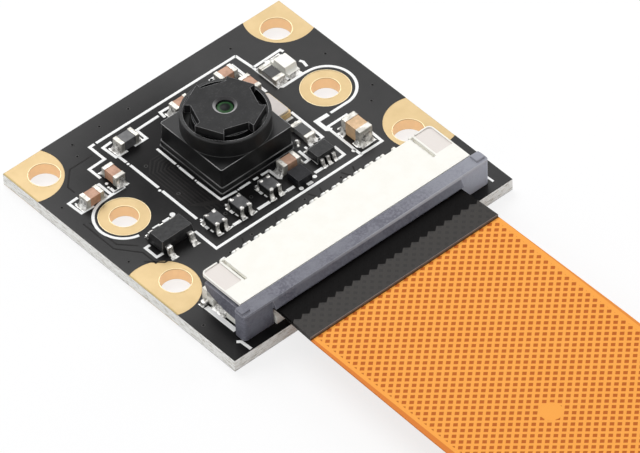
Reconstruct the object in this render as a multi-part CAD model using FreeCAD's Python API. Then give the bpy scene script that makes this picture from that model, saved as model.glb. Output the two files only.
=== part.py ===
import FreeCAD, Part
import math
import os

# Fixed-focus camera module on a small circuit board, with its flat flexible cable.
# Millimetres. The origin is the centre of the board's underside, +Z is the way the lens looks,
# +X runs along the cable connector and the cable leaves towards -Y.

# Board
board_width = 25.0
board_depth = 24.0
board_thickness = 1.0
mask_step = 0.02
plating = 0.04
barrel_plating = 0.05
corner_hole_diameter = 2.2
corner_hole_inset = 2.0
side_hole_drop = 13.7
pad_radius = 2.65
corner_pad_inset_x = 1.0
corner_pad_inset_y = 1.25
side_pad_inset = 0.85
terminal_hole_diameter = 2.0
terminal_ring_diameter = 3.64
terminal_spacing = 18.2
terminal_y = 3.26

# Lens holder
lens_x = 0.3
lens_y = 3.48
holder_side = 6.36
holder_height = 2.25
holder_foot_proud = 0.06
holder_foot_height = 0.62
holder_seat_proud = 0.05
holder_seat_height = 0.14
holder_edge_radius = 0.16
collar_height = 1.3
collar_wall = 0.27
collar_depth = 0.95
thread_diameter = 4.9
thread_clearance = 0.02
cavity_side = 5.3
cavity_height = 1.15
roof_thickness = 0.45
window_side = 3.8

# Lens barrel
barrel_head_gap = 0.1
barrel_head_thickness = 0.72
barrel_head_lift = 4.1
barrel_neck_inset = 0.12
barrel_notch_depth = 0.46
barrel_notches = 4
barrel_notch_turn = 250.0
barrel_notch_sweep = 45.0
aperture_diameter = 1.3
aperture_sink_diameter = 1.68
aperture_sink_depth = 0.14
barrel_lip = 0.28
element_clearance = 0.02
front_element_diameter = 2.4
middle_element_diameter = 2.9
rear_element_diameter = 3.5
element_edge = 0.42
front_bulge = 0.12
rear_bulge = 0.1
rear_clear = 1.4
spacer_thickness = 0.16
spacer_bore = 1.9

# Sensor and filter
sensor_width = 4.9
sensor_depth = 4.5
sensor_thickness = 0.5
filter_side = 4.5
filter_thickness = 0.21

# Cable connector
contact_count = 15
contact_pitch = 1.0
contact_width = 0.3
contact_stock = 0.12
contact_groove = 0.44
tail_length = 1.7
connector_x = 0.1
connector_front = 1.95
connector_depth = 3.9
connector_height = 2.3
housing_end = 3.3
core_end = 1.62
channel_inset = 0.7
channel_floor = 0.59
channel_height = 1.49
slot_floor = 1.16
slot_height = 0.84
slot_side_clearance = 0.12
slot_back_wall = 0.75
lip_end = 1.3
lip_length = 1.3
lip_height = 0.92
ear_length = 2.4
ear_step = 0.15
ear_corner = 0.4
ear_pocket = 0.07
ear_width = 1.55
ear_margin = 0.12
foot_proud = 0.05
foot_step = 0.37
rear_foot_length = 1.09
front_foot_length = 1.45
heel_height = 1.0
heel_length = 0.5
groove_inset = 0.28
groove_width = 0.26
groove_depth = 0.3
nail_stock = 0.14
nail_gap = 0.08
nail_reach = 0.42
pin_width = 0.4
pin_inset = 0.3
pin_reach = 0.5
pin_height = 0.3

# Latch, a slider that wedges the cable down
latch_proud = 0.7
latch_gap = 0.06
latch_bar_depth = 1.12
latch_bar_lean = 0.3
latch_underside = 1.6
latch_block_width = 2.55
latch_block_lift = 0.07
latch_knob_width = 0.85
latch_knob_height = 0.13
latch_tongue_length = 2.75
latch_tongue_thickness = 0.29
latch_tongue_side_gap = 0.16
latch_arm_proud = 0.2
latch_arm_length = 3.45
latch_arm_clearance = 0.1
latch_bevel = 0.08
latch_corner = 0.3

# Flat cable
cable_width = 17.2
cable_tab_margin = 1.25
cable_neck_share = 0.5
cable_film = 0.12
cable_stiffener = 0.18
cable_finger = 0.03
cable_finger_width = 0.6
cable_finger_length = 3.6
cable_stiffener_length = 7.9
cable_flare_length = 12.0
cable_table_y = (-56.0, -107.0, -157.0)

board_top = board_thickness
contact_span = contact_pitch * (contact_count - 1)
housing_half = contact_span / 2 + housing_end
core_half = contact_span / 2 + core_end
lip_half = contact_span / 2 + lip_end
channel_half = housing_half - channel_inset
ear_inner = housing_half - ear_width
groove_inner = core_half - groove_inset
latch_half = housing_half + latch_proud
latch_block_inner = latch_half - latch_block_width
latch_knob_half = latch_half - latch_knob_width
latch_arm_half = housing_half + latch_arm_proud
cable_tab_width = contact_span + 2 * cable_tab_margin
cable_neck_width = cable_tab_width + (cable_width - cable_tab_width) * cable_neck_share
front_edge = -board_depth / 2
rear_edge = board_depth / 2

os.makedirs("parts", exist_ok=True)


def block(x0, x1, y0, y1, z0, z1):
    corner = FreeCAD.Vector(min(x0, x1), min(y0, y1), min(z0, z1))
    return Part.makeBox(abs(x1 - x0), abs(y1 - y0), abs(z1 - z0), corner)


def drum(x, y, z0, z1, radius):
    return Part.makeCylinder(radius, z1 - z0, FreeCAD.Vector(x, y, z0))


def plan_prism(points, z0, z1):
    wire = Part.makePolygon([FreeCAD.Vector(x, y, z0) for x, y in points + points[:1]])
    return Part.Face(wire).extrude(FreeCAD.Vector(0, 0, z1 - z0))


def side_prism(points, x0, x1):
    wire = Part.makePolygon([FreeCAD.Vector(x0, y, z) for y, z in points + points[:1]])
    return Part.Face(wire).extrude(FreeCAD.Vector(x1 - x0, 0, 0))


def front_prism(points, y0, y1):
    wire = Part.makePolygon([FreeCAD.Vector(x, y0, z) for x, z in points + points[:1]])
    return Part.Face(wire).extrude(FreeCAD.Vector(0, y1 - y0, 0))


def turned(edges, x, y):
    face = Part.Face(Part.Wire(edges))
    solid = face.revolve(FreeCAD.Vector(0, 0, 0), FreeCAD.Vector(0, 0, 1), 360)
    solid.translate(FreeCAD.Vector(x, y, 0))
    return solid


def turned_outline(points, x, y):
    corners = [FreeCAD.Vector(r, 0, z) for r, z in points + points[:1]]
    return turned(Part.makePolygon(corners).Edges, x, y)


def fuse(first, *others):
    return first.fuse(list(others)).removeSplitter()


def upright_edges(solid):
    def upright(edge):
        ends = [vertex.Point for vertex in edge.Vertexes]
        if len(ends) != 2:
            return False
        flat = math.hypot(ends[0].x - ends[1].x, ends[0].y - ends[1].y)
        return flat < 1e-6 and isinstance(edge.Curve, Part.Line)
    return [edge for edge in solid.Edges if upright(edge)]


def save(node, *solids):
    shape = solids[0] if len(solids) == 1 else Part.makeCompound(list(solids))
    shape.exportStep("parts/" + node + ".step")


# Circuit board: one sheet of laminate with plated holes, whose pads lie just below the mask
hole_x = board_width / 2 - corner_hole_inset
corner_hole_y = rear_edge - corner_hole_inset
side_hole_y = corner_hole_y - side_hole_drop
corner_pad_x = board_width / 2 - corner_pad_inset_x
corner_pad_y = rear_edge - corner_pad_inset_y
side_pad_x = board_width / 2 - side_pad_inset
terminal_x = terminal_spacing / 2
hole_radius = corner_hole_diameter / 2
terminal_hole_radius = terminal_hole_diameter / 2
ring_radius = terminal_ring_diameter / 2
sheet = block(-board_width / 2, board_width / 2, front_edge, rear_edge, 0.0, board_top)


def clipped_pad(pad_x, pad_y, radius, z0, z1):
    return drum(pad_x, pad_y, z0, z1, radius).common(sheet)


def plated_hole(pad_x, pad_y, radius, x, y, bore_radius):
    upper = clipped_pad(pad_x, pad_y, radius, board_top - mask_step - plating, board_top - mask_step)
    lower = clipped_pad(pad_x, pad_y, radius, mask_step, mask_step + plating)
    sleeve = drum(x, y, mask_step, board_top - mask_step, bore_radius + barrel_plating)
    return fuse(upper, lower, sleeve).cut(drum(x, y, -1.0, board_top + 1.0, bore_radius))


def plated_hole_room(pad_x, pad_y, radius, x, y, bore_radius):
    upper = clipped_pad(pad_x, pad_y, radius, board_top - mask_step - plating, board_top)
    lower = clipped_pad(pad_x, pad_y, radius, 0.0, mask_step + plating)
    return upper.fuse([lower, drum(x, y, 0.0, board_top, bore_radius + barrel_plating)])


mounting_holes = []
terminal_holes = []
for side in (-1, 1):
    corner_hole = (side * hole_x, corner_hole_y, hole_radius)
    side_hole = (side * hole_x, side_hole_y, hole_radius)
    mounting_holes.append((side * corner_pad_x, corner_pad_y, pad_radius) + corner_hole)
    mounting_holes.append((side * side_pad_x, side_hole_y, pad_radius) + side_hole)
    terminal_holes.append((side * terminal_x, terminal_y, ring_radius, side * terminal_x, terminal_y,
                           terminal_hole_radius))

board = sheet
for hole in mounting_holes + terminal_holes:
    board = board.cut(plated_hole_room(*hole))
save("circuit_board", board)
save("mounting_pads", *[plated_hole(*hole) for hole in mounting_holes])
save("terminal_rings", *[plated_hole(*hole) for hole in terminal_holes])


# Lens holder: a moulded square box glued to the board, with a round collar on its roof
def lens_block(side_length, z0, z1):
    half = side_length / 2
    solid = block(lens_x - half, lens_x + half, lens_y - half, lens_y + half, z0, z1)
    return solid.makeFillet(holder_edge_radius, upright_edges(solid))


holder_top = board_top + holder_height
collar_top = holder_top + collar_height
collar_radius = holder_side / 2
collar_bore = collar_radius - collar_wall
thread_radius = thread_diameter / 2
cavity_top = board_top + cavity_height
roof_top = cavity_top + roof_thickness
foot_side = holder_side + 2 * holder_foot_proud
seat_side = foot_side + 2 * holder_seat_proud

holder = fuse(
    lens_block(holder_side, board_top, holder_top),
    lens_block(foot_side, board_top, board_top + holder_foot_height),
    lens_block(seat_side, board_top, board_top + holder_seat_height),
    drum(lens_x, lens_y, holder_top - holder_foot_height, collar_top, collar_radius - 0.005),
)
rim_radius = collar_wall / 3
rim_edges = []
for edge in holder.Edges:
    if isinstance(edge.Curve, Part.Circle) and abs(edge.CenterOfMass.z - collar_top) < 1e-6:
        rim_edges.append(edge)
holder = holder.makeFillet(rim_radius, rim_edges)
holder = holder.cut(drum(lens_x, lens_y, collar_top - collar_depth, collar_top, collar_bore))
holder = holder.cut(drum(lens_x, lens_y, roof_top, collar_top, thread_radius))
half_cavity = cavity_side / 2
holder = holder.cut(block(lens_x - half_cavity, lens_x + half_cavity, lens_y - half_cavity,
                          lens_y + half_cavity, board_top, cavity_top))
half_window = window_side / 2
holder = holder.cut(block(lens_x - half_window, lens_x + half_window, lens_y - half_window,
                          lens_y + half_window, cavity_top, roof_top))
save("lens_holder", holder)

# Image sensor on the board and the infrared filter bonded under the holder's roof
save("image_sensor", block(lens_x - sensor_width / 2, lens_x + sensor_width / 2,
                           lens_y - sensor_depth / 2, lens_y + sensor_depth / 2,
                           board_top, board_top + sensor_thickness))
save("infrared_filter", block(lens_x - filter_side / 2, lens_x + filter_side / 2,
                              lens_y - filter_side / 2, lens_y + filter_side / 2,
                              cavity_top - filter_thickness, cavity_top))

# Lens barrel: screwed into the collar and glued, its head notched for the focusing key
head_top = board_top + barrel_head_lift
head_bottom = head_top - barrel_head_thickness
head_radius = collar_bore - barrel_head_gap
neck_radius = thread_radius - barrel_neck_inset
body_radius = thread_radius - thread_clearance
thread_top = collar_top - collar_depth
barrel_bottom = roof_top + thread_clearance
lip_bottom = head_top - barrel_lip
front_seat = lip_bottom
middle_seat = front_seat - element_edge - spacer_thickness
rear_seat = middle_seat - element_edge - spacer_thickness
aperture_radius = aperture_diameter / 2
sink_radius = aperture_sink_diameter / 2

barrel = turned_outline([
    (aperture_radius, head_top - aperture_sink_depth),
    (sink_radius, head_top),
    (head_radius, head_top),
    (head_radius, head_bottom),
    (neck_radius, head_bottom),
    (neck_radius, thread_top),
    (body_radius, thread_top),
    (body_radius, barrel_bottom),
    (rear_element_diameter / 2, barrel_bottom),
    (rear_element_diameter / 2, rear_seat),
    (middle_element_diameter / 2, rear_seat),
    (middle_element_diameter / 2, middle_seat),
    (front_element_diameter / 2, middle_seat),
    (front_element_diameter / 2, front_seat),
    (aperture_radius, front_seat),
], lens_x, lens_y)
notch_radius = head_radius - barrel_notch_depth
head_outline = []
for index in range(barrel_notches):
    middle = barrel_notch_turn + index * 360.0 / barrel_notches
    for radius in (head_radius, notch_radius):
        head_outline.append((radius, middle - barrel_notch_sweep / 2))
    for radius in (notch_radius, head_radius):
        head_outline.append((radius, middle + barrel_notch_sweep / 2))
head_points = []
for radius, turn in head_outline:
    angle = math.radians(turn)
    head_points.append((lens_x + radius * math.cos(angle), lens_y + radius * math.sin(angle)))
head_waste = drum(lens_x, lens_y, head_bottom, head_top, head_radius + barrel_head_gap)
barrel = barrel.cut(head_waste.cut(plan_prism(head_points, head_bottom, head_top)))
save("lens_barrel", barrel)


# Moulded lens elements, kept apart by thin black rings
def bulge_arc(radius, edge_z, tip_z):
    rise = abs(tip_z - edge_z)
    sphere = (radius ** 2 + rise ** 2) / (2 * rise)
    half_z = tip_z - math.copysign(sphere - math.sqrt(sphere ** 2 - radius ** 2 / 4), tip_z - edge_z)
    return Part.Arc(FreeCAD.Vector(0, 0, tip_z), FreeCAD.Vector(radius / 2, 0, half_z),
                    FreeCAD.Vector(radius, 0, edge_z)).toShape()


def lens_element(diameter, top, edge, upper_clear, upper_bulge, lower_clear, lower_bulge):
    radius = diameter / 2 - element_clearance
    low = top - edge
    outline = Part.makePolygon([
        FreeCAD.Vector(upper_clear, 0, top),
        FreeCAD.Vector(radius, 0, top),
        FreeCAD.Vector(radius, 0, low),
        FreeCAD.Vector(lower_clear, 0, low),
    ]).Edges
    axis = Part.makeLine(FreeCAD.Vector(0, 0, low - lower_bulge), FreeCAD.Vector(0, 0, top + upper_bulge))
    curves = [bulge_arc(upper_clear, top, top + upper_bulge), bulge_arc(lower_clear, low, low - lower_bulge)]
    return turned(Part.__sortEdges__(outline + curves + [axis]), lens_x, lens_y)


def spacer_ring(diameter, top):
    outer = diameter / 2 - element_clearance
    ring = drum(lens_x, lens_y, top - spacer_thickness, top, outer)
    return ring.cut(drum(lens_x, lens_y, top - spacer_thickness, top, spacer_bore / 2))


aperture_clear = aperture_radius - element_clearance
spacer_clear = spacer_bore / 2 - element_clearance
inner_bulge = spacer_thickness / 2 - element_clearance
save("front_lens", lens_element(front_element_diameter, front_seat, element_edge,
                                aperture_clear, front_bulge, spacer_clear, inner_bulge))
save("middle_lens", lens_element(middle_element_diameter, middle_seat, element_edge,
                                 spacer_clear, inner_bulge, spacer_clear, inner_bulge))
save("rear_lens", lens_element(rear_element_diameter, rear_seat, element_edge,
                               spacer_clear, inner_bulge, rear_clear, rear_bulge))
save("lens_spacers", spacer_ring(front_element_diameter, front_seat - element_edge),
     spacer_ring(middle_element_diameter, middle_seat - element_edge))

# Connector housing: moulded in one piece, with a comb of ribs behind and a channel at each end
housing_front = front_edge + connector_front
housing_rear = housing_front + connector_depth
housing_top = board_top + connector_height
slot_low = board_top + slot_floor
slot_high = slot_low + slot_height
slot_half = cable_tab_width / 2 + slot_side_clearance
slot_back = housing_rear - slot_back_wall
channel_low = board_top + channel_floor
channel_high = channel_low + channel_height
ear_rear = housing_rear + ear_step
ear_front = ear_rear - ear_length
foot_half = housing_half + foot_proud
rear_foot_front = housing_rear - rear_foot_length
front_foot_rear = housing_front + front_foot_length


def contact_places():
    first = connector_x - contact_span / 2
    return [first + contact_pitch * index for index in range(contact_count)]


housing = block(connector_x - core_half, connector_x + core_half, housing_front, housing_rear,
                board_top, housing_top)
for side in (-1, 1):
    inner = connector_x + side * (core_half - groove_depth)
    wall = block(inner, connector_x + side * channel_half, housing_front, housing_rear,
                 board_top, housing_top)
    shelf = block(inner, connector_x + side * housing_half, housing_front, ear_rear,
                  channel_high, housing_top)
    sole = block(inner, connector_x + side * (foot_half - foot_step), housing_front, housing_rear,
                 board_top, channel_low)
    rear_foot = block(inner, connector_x + side * foot_half, rear_foot_front, housing_rear,
                      board_top, channel_low)
    front_foot = block(inner, connector_x + side * foot_half, housing_front, front_foot_rear,
                       board_top, channel_low)
    heel = block(inner, connector_x + side * foot_half, housing_rear - heel_length, housing_rear,
                 board_top, board_top + heel_height)
    housing = fuse(housing, wall, shelf, sole, rear_foot, front_foot, heel)
rear_corners = []
for edge in upright_edges(housing):
    outer = abs(edge.CenterOfMass.x - connector_x) > housing_half - 1e-3
    if outer and edge.CenterOfMass.y > ear_front and edge.CenterOfMass.z > channel_high:
        rear_corners.append(edge)
housing = housing.makeFillet(ear_corner, rear_corners)
housing = fuse(housing, block(connector_x - lip_half, connector_x + lip_half, housing_front - lip_length,
                              housing_front, board_top, board_top + lip_height))
lip_bevel = side_prism([
    (housing_front - lip_length, board_top + lip_height - ear_corner),
    (housing_front - lip_length, board_top + lip_height),
    (housing_front - lip_length + ear_corner, board_top + lip_height),
], connector_x - lip_half, connector_x + lip_half)
housing = housing.cut(lip_bevel)
for side in (-1, 1):
    pocket = block(connector_x + side * ear_inner, connector_x + side * (housing_half - ear_margin),
                   ear_front, ear_rear - ear_margin, housing_top - ear_pocket, housing_top)
    pocket_corners = []
    for edge in upright_edges(pocket):
        outer = abs(edge.CenterOfMass.x - connector_x) > ear_inner + 1e-3
        if outer and edge.CenterOfMass.y > ear_front + 1e-3:
            pocket_corners.append(edge)
    pocket = pocket.makeFillet(ear_corner - ear_margin, pocket_corners)
    groove = block(connector_x + side * groove_inner, connector_x + side * (groove_inner + groove_width),
                   ear_front - ear_margin, housing_rear, housing_top - groove_depth, housing_top)
    notch = block(connector_x + side * core_half, connector_x + side * (core_half + groove_width),
                  housing_rear, ear_rear, channel_high, housing_top)
    housing = housing.cut([pocket, groove, notch])
housing = housing.cut(block(connector_x - slot_half, connector_x + slot_half, housing_front, slot_back,
                            slot_low, slot_high))
mouth = side_prism([
    (housing_front, slot_low - slot_side_clearance),
    (housing_front, slot_low),
    (housing_front + slot_side_clearance, slot_low),
], connector_x - slot_half, connector_x + slot_half)
housing = housing.cut(mouth)
contact_front = housing_front + contact_groove
for x in contact_places():
    groove = block(x - contact_groove / 2, x + contact_groove / 2, contact_front, housing_rear,
                   board_top, slot_low)
    housing = housing.cut(groove)
save("connector_housing", housing.removeSplitter())

# Contacts: 15 spring fingers stamped from strip, each soldered by its tail behind the housing
cable_low = slot_low + cable_finger
film_low = cable_low
film_high = film_low + cable_film
finger_low = film_low - cable_finger
tail_end = housing_rear + tail_length
crest_y = (contact_front + slot_back) / 2
spring_tip = contact_front + contact_groove


def contact(x):
    stock = contact_stock
    outline = [
        (tail_end, board_top),
        (housing_rear + stock, board_top),
        (housing_rear, board_top + stock),
        (slot_back, board_top + stock),
        (crest_y, finger_low - stock),
        (spring_tip, finger_low - 2.6 * stock),
        (spring_tip, finger_low - 1.6 * stock),
        (crest_y - stock, finger_low),
        (crest_y + stock, finger_low),
        (slot_back, board_top + 2 * stock),
        (housing_rear + stock, board_top + 2 * stock),
        (housing_rear + 2 * stock, board_top + stock),
        (tail_end, board_top + stock),
    ]
    return side_prism(outline, x - contact_width / 2, x + contact_width / 2)


save("connector_contacts", *[contact(x) for x in contact_places()])


# Hold-down nails: a folded tab between the feet and a pin beside the rear foot, at each end
def nail(side):
    face = connector_x + side * (foot_half - foot_step)
    tab_rear = rear_foot_front - nail_gap
    tab_front = front_foot_rear + nail_gap
    upright = block(face, face + side * nail_stock, tab_front, tab_rear, board_top, channel_low)
    tab = block(face, face + side * nail_reach, tab_front, tab_rear, board_top, board_top + nail_stock)
    return fuse(upright, tab)


def nail_pin(side):
    face = connector_x + side * foot_half
    tip = face + side * pin_reach
    pin_rear = housing_rear - pin_inset
    pin = block(face, tip, pin_rear - pin_width, pin_rear, board_top, board_top + pin_height)
    ends = [edge for edge in upright_edges(pin) if abs(edge.CenterOfMass.x - tip) < 1e-6]
    return pin.makeFillet(pin_width * 0.4, ends)


save("connector_nails", nail(-1), nail_pin(-1), nail(1), nail_pin(1))

# Latch: bar, tongue and two arms in one moulding, which slides out by 1.5 mm
bar_rear = housing_front - latch_gap
bar_front = bar_rear - latch_bar_depth
latch_low = board_top + latch_underside
block_low = board_top + latch_block_lift
latch_top = housing_top
tongue_half = slot_half - latch_tongue_side_gap
bar = side_prism([
    (bar_rear, latch_low),
    (bar_front - latch_bar_lean, latch_low),
    (bar_front - latch_bar_lean, latch_low + latch_bevel),
    (bar_front, latch_top - latch_bevel),
    (bar_front + latch_bevel, latch_top),
    (bar_rear, latch_top),
], connector_x - latch_block_inner, connector_x + latch_block_inner)
tongue_root = bar_rear - latch_gap
tongue_tip = bar_rear + latch_tongue_length
tongue_high = latch_low + latch_tongue_thickness
tongue = side_prism([
    (tongue_root, latch_low),
    (tongue_tip - latch_tongue_thickness, latch_low),
    (tongue_tip, latch_low + latch_tongue_thickness / 2),
    (tongue_tip - latch_tongue_thickness, tongue_high),
    (tongue_root, tongue_high),
], connector_x - tongue_half, connector_x + tongue_half)
latch = fuse(bar, tongue)
for side in (-1, 1):
    block_in = connector_x + side * latch_block_inner
    block_out = connector_x + side * latch_half
    end_block = side_prism([
        (bar_rear, block_low),
        (bar_front, block_low),
        (bar_front, latch_top - latch_bevel),
        (bar_front + latch_bevel, latch_top),
        (bar_rear, latch_top),
    ], min(block_in, block_out), max(block_in, block_out))
    outer_edges = []
    for edge in upright_edges(end_block):
        if abs(edge.CenterOfMass.x - connector_x) > latch_half - 1e-3:
            outer_edges.append(edge)
    end_block = end_block.makeFillet(latch_corner, outer_edges)
    knob = block(connector_x + side * latch_knob_half, block_out - side * latch_bevel,
                 bar_front + latch_corner, bar_rear - latch_bevel, latch_top, latch_top + latch_knob_height)
    knob = knob.makeFillet(latch_bevel, [e for e in knob.Edges if e.CenterOfMass.z > latch_top + 1e-3])
    arm_in = connector_x + side * (channel_half + latch_arm_clearance)
    arm_out = connector_x + side * latch_arm_half
    arm_low = channel_low + latch_arm_clearance
    arm_high = channel_high - latch_arm_clearance
    arm_tip = bar_rear + latch_arm_length
    arm_rise = arm_high - arm_low
    arm = side_prism([
        (tongue_root, arm_low),
        (arm_tip - 1.45 * arm_rise, arm_low + 0.1 * arm_rise),
        (arm_tip - 0.58 * arm_rise, arm_low + 0.33 * arm_rise),
        (arm_tip - 0.16 * arm_rise, arm_low + 0.52 * arm_rise),
        (arm_tip, arm_low + 0.82 * arm_rise),
        (arm_tip, arm_high),
        (tongue_root, arm_high),
    ], min(arm_in, arm_out), max(arm_in, arm_out))
    latch = fuse(latch, end_block, knob, arm)
save("connector_latch", latch)

# Flat cable: polyimide film with a stiffener and 15 gold fingers at each end.
# The side view is straight runs joined by tangent arcs; the plan view narrows to each end's tab.
tab_end = slot_back - slot_side_clearance
stiffener_end = tab_end - cable_stiffener_length
film_mid = film_low + cable_film / 2
table_mid = cable_finger + cable_film / 2
cable_points = [
    (tab_end, film_mid),
    (cable_table_y[0], film_mid),
    (cable_table_y[1], table_mid),
    (cable_table_y[2], table_mid),
]
cable_far = cable_table_y[2]


def bend(before, corner, after):
    run_in = math.dist(before, corner)
    run_out = math.dist(corner, after)
    into = ((corner[0] - before[0]) / run_in, (corner[1] - before[1]) / run_in)
    away = ((after[0] - corner[0]) / run_out, (after[1] - corner[1]) / run_out)
    turn = math.acos(max(-1.0, min(1.0, into[0] * away[0] + into[1] * away[1])))
    setback = 0.45 * min(run_in, run_out)
    radius = setback / math.tan(turn / 2)
    start = (corner[0] - into[0] * setback, corner[1] - into[1] * setback)
    end = (corner[0] + away[0] * setback, corner[1] + away[1] * setback)
    hand = math.copysign(1.0, into[0] * away[1] - into[1] * away[0])
    centre = (start[0] - into[1] * radius * hand, start[1] + into[0] * radius * hand)
    reach = (corner[0] - centre[0], corner[1] - centre[1])
    scale = radius / math.hypot(*reach)
    middle = (centre[0] + reach[0] * scale, centre[1] + reach[1] * scale)
    return {"start": start, "middle": middle, "end": end, "centre": centre, "radius": radius, "hand": hand}


def offset_on_bend(item, name, distance):
    point = item[name]
    out = ((point[0] - item["centre"][0]) / item["radius"], (point[1] - item["centre"][1]) / item["radius"])
    shift = -distance * item["hand"]
    return FreeCAD.Vector(0, point[0] + out[0] * shift, point[1] + out[1] * shift)


def cable_side_edges(bends, distance):
    first = FreeCAD.Vector(0, cable_points[0][0], cable_points[0][1] - distance)
    last = FreeCAD.Vector(0, cable_points[-1][0], cable_points[-1][1] - distance)
    edges = []
    here = first
    for item in bends:
        start, middle, end = [offset_on_bend(item, name, distance) for name in ("start", "middle", "end")]
        edges.append(Part.makeLine(here, start))
        edges.append(Part.Arc(start, middle, end).toShape())
        here = end
    edges.append(Part.makeLine(here, last))
    return edges, first, last


cable_bends = [bend(*cable_points[index:index + 3]) for index in range(len(cable_points) - 2)]
for item in cable_bends:
    print("cable bend radius", round(item["radius"], 1))
upper_edges, upper_first, upper_last = cable_side_edges(cable_bends, -cable_film / 2)
lower_edges, lower_first, lower_last = cable_side_edges(cable_bends, cable_film / 2)
closing = [Part.makeLine(upper_last, lower_last), Part.makeLine(lower_first, upper_first)]
cable_wire = Part.Wire(Part.__sortEdges__(upper_edges + lower_edges + closing))
ribbon = Part.Face(cable_wire).extrude(FreeCAD.Vector(cable_width, 0, 0))
ribbon.translate(FreeCAD.Vector(connector_x - cable_width / 2, 0, 0))


def half_width_at(y):
    far_shoulder = cable_far + cable_stiffener_length
    stations = [
        (tab_end, cable_tab_width),
        (housing_front - latch_bar_depth, cable_tab_width),
        (stiffener_end, cable_neck_width),
        (stiffener_end - cable_flare_length, cable_width),
        (far_shoulder + cable_flare_length, cable_width),
        (far_shoulder, cable_neck_width),
        (cable_far, cable_tab_width),
    ]
    for (y0, w0), (y1, w1) in zip(stations, stations[1:]):
        if y0 >= y >= y1:
            return (w0 + (w1 - w0) * (y0 - y) / (y0 - y1)) / 2
    return cable_tab_width / 2


def cable_outline(y_list):
    left = [(connector_x - half_width_at(y), y) for y in y_list]
    right = [(connector_x + half_width_at(y), y) for y in reversed(y_list)]
    return left + right


far_shoulder = cable_far + cable_stiffener_length
plan = cable_outline([tab_end, housing_front - latch_bar_depth, stiffener_end,
                      stiffener_end - cable_flare_length, far_shoulder + cable_flare_length,
                      far_shoulder, cable_far])
film = ribbon.common(plan_prism(plan, -1.0, housing_top))
save("flex_cable", film)
run_length = sum(math.dist(a, b) for a, b in zip(cable_points, cable_points[1:]))
print("cable length", round(run_length, 2), "film volume", round(film.Volume, 2))

near_outline = cable_outline([tab_end, housing_front - latch_bar_depth, stiffener_end])
save("cable_stiffener_near", plan_prism(near_outline, film_high, film_high + cable_stiffener))
far_top = cable_finger + cable_film
far_outline = cable_outline([far_shoulder, cable_far])
save("cable_stiffener_far", plan_prism(far_outline, far_top, far_top + cable_stiffener))


def cable_fingers(y0, y1, z0):
    fingers = []
    for x in contact_places():
        fingers.append(block(x - cable_finger_width / 2, x + cable_finger_width / 2,
                             y0, y1, z0, z0 + cable_finger))
    return fingers


save("cable_fingers_near", *cable_fingers(tab_end - cable_finger_length, tab_end, finger_low))
save("cable_fingers_far", *cable_fingers(cable_far, cable_far + cable_finger_length, 0.0))


# Chip parts: a ceramic body with a metal cap folded round each end, all in one piece
cap_proud = 0.03


def chip(x, y, length, width, height, cap, along_y):
    half_l = length / 2
    half_w = width / 2
    body = block(x - half_l + cap_proud, x + half_l - cap_proud, y - half_w + cap_proud,
                 y + half_w - cap_proud, board_top + cap_proud, board_top + height - cap_proud)
    ends = []
    for side in (-1, 1):
        end = block(x + side * (half_l - cap), x + side * half_l, y - half_w, y + half_w,
                    board_top, board_top + height)
        outer = []
        for edge in end.Edges:
            if abs(edge.CenterOfMass.x - (x + side * half_l)) < 1e-6:
                outer.append(edge)
        ends.append(end.makeFillet(cap_proud * 2, outer))
    solid = fuse(body, *ends)
    if along_y:
        solid.rotate(FreeCAD.Vector(x, y, 0), FreeCAD.Vector(0, 0, 1), 90)
    return solid


small_chip = {"length": 1.55, "width": 0.85, "height": 0.8, "cap": 0.36}
capacitor_places = [
    (-7.27, 6.5, True),
    (-9.75, 5.85, False),
    (0.45, 8.42, False),
    (4.62, 8.55, False),
    (5.2, 6.7, True),
    (2.15, -0.78, False),
]
for number, (x, y, along_y) in enumerate(capacitor_places, start=1):
    save("capacitor_" + str(number), chip(x, y, along_y=along_y, **small_chip))
reservoir_x = 7.65
reservoir_y = -1.6
save("reservoir_capacitor", chip(reservoir_x, reservoir_y, 1.95, 1.15, 1.2, 0.48, True))
resistor_height = 0.46
lamp_resistor_x = 7.17
lamp_resistor_y = 6.67
bus_resistor_x = 5.0
bus_resistor_y = 0.98
save("lamp_resistor", chip(lamp_resistor_x, lamp_resistor_y, 1.85, 0.92, resistor_height, 0.3, True))
save("bus_resistor", chip(bus_resistor_x, bus_resistor_y, 1.75, 0.85, resistor_height, 0.3, True))
bead_x = -4.52
bead_y = 8.4
save("ferrite_bead", chip(bead_x, bead_y, 1.65, 0.92, 0.84, 0.34, False))

# Indicator lamp: a clear block on a thin carrier with a metal land at each end
lamp_x = 8.42
lamp_y = 6.7
lamp_length = 1.95
lamp_width = 1.02
lamp_height = 0.64
lamp_land = 0.3
lamp_carrier = 0.22
carrier = block(lamp_x - lamp_width / 2, lamp_x + lamp_width / 2, lamp_y - lamp_length / 2,
                lamp_y + lamp_length / 2, board_top, board_top + lamp_carrier)
lamp_half_low = lamp_length / 2 - lamp_land
dome = side_prism([
    (lamp_y - lamp_half_low, board_top + lamp_carrier),
    (lamp_y + lamp_half_low, board_top + lamp_carrier),
    (lamp_y + lamp_half_low - lamp_land / 3, board_top + lamp_height),
    (lamp_y - lamp_half_low + lamp_land / 3, board_top + lamp_height),
], lamp_x - lamp_width / 2, lamp_x + lamp_width / 2)
save("indicator_lamp", fuse(carrier, dome))

# Crystal: a ceramic tray closed by a seam-welded metal lid
crystal_x = 4.65
crystal_y = 4.05
crystal_width = 1.94
crystal_length = 2.5
crystal_tray_height = 0.42
crystal_lid_height = 0.18
crystal_lid_inset = 0.1
crystal_corner = 0.22


def crystal_slab(inset, z0, z1):
    half_w = crystal_width / 2 - inset
    half_l = crystal_length / 2 - inset
    slab = block(crystal_x - half_w, crystal_x + half_w, crystal_y - half_l, crystal_y + half_l, z0, z1)
    return slab.makeFillet(crystal_corner, upright_edges(slab))


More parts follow.
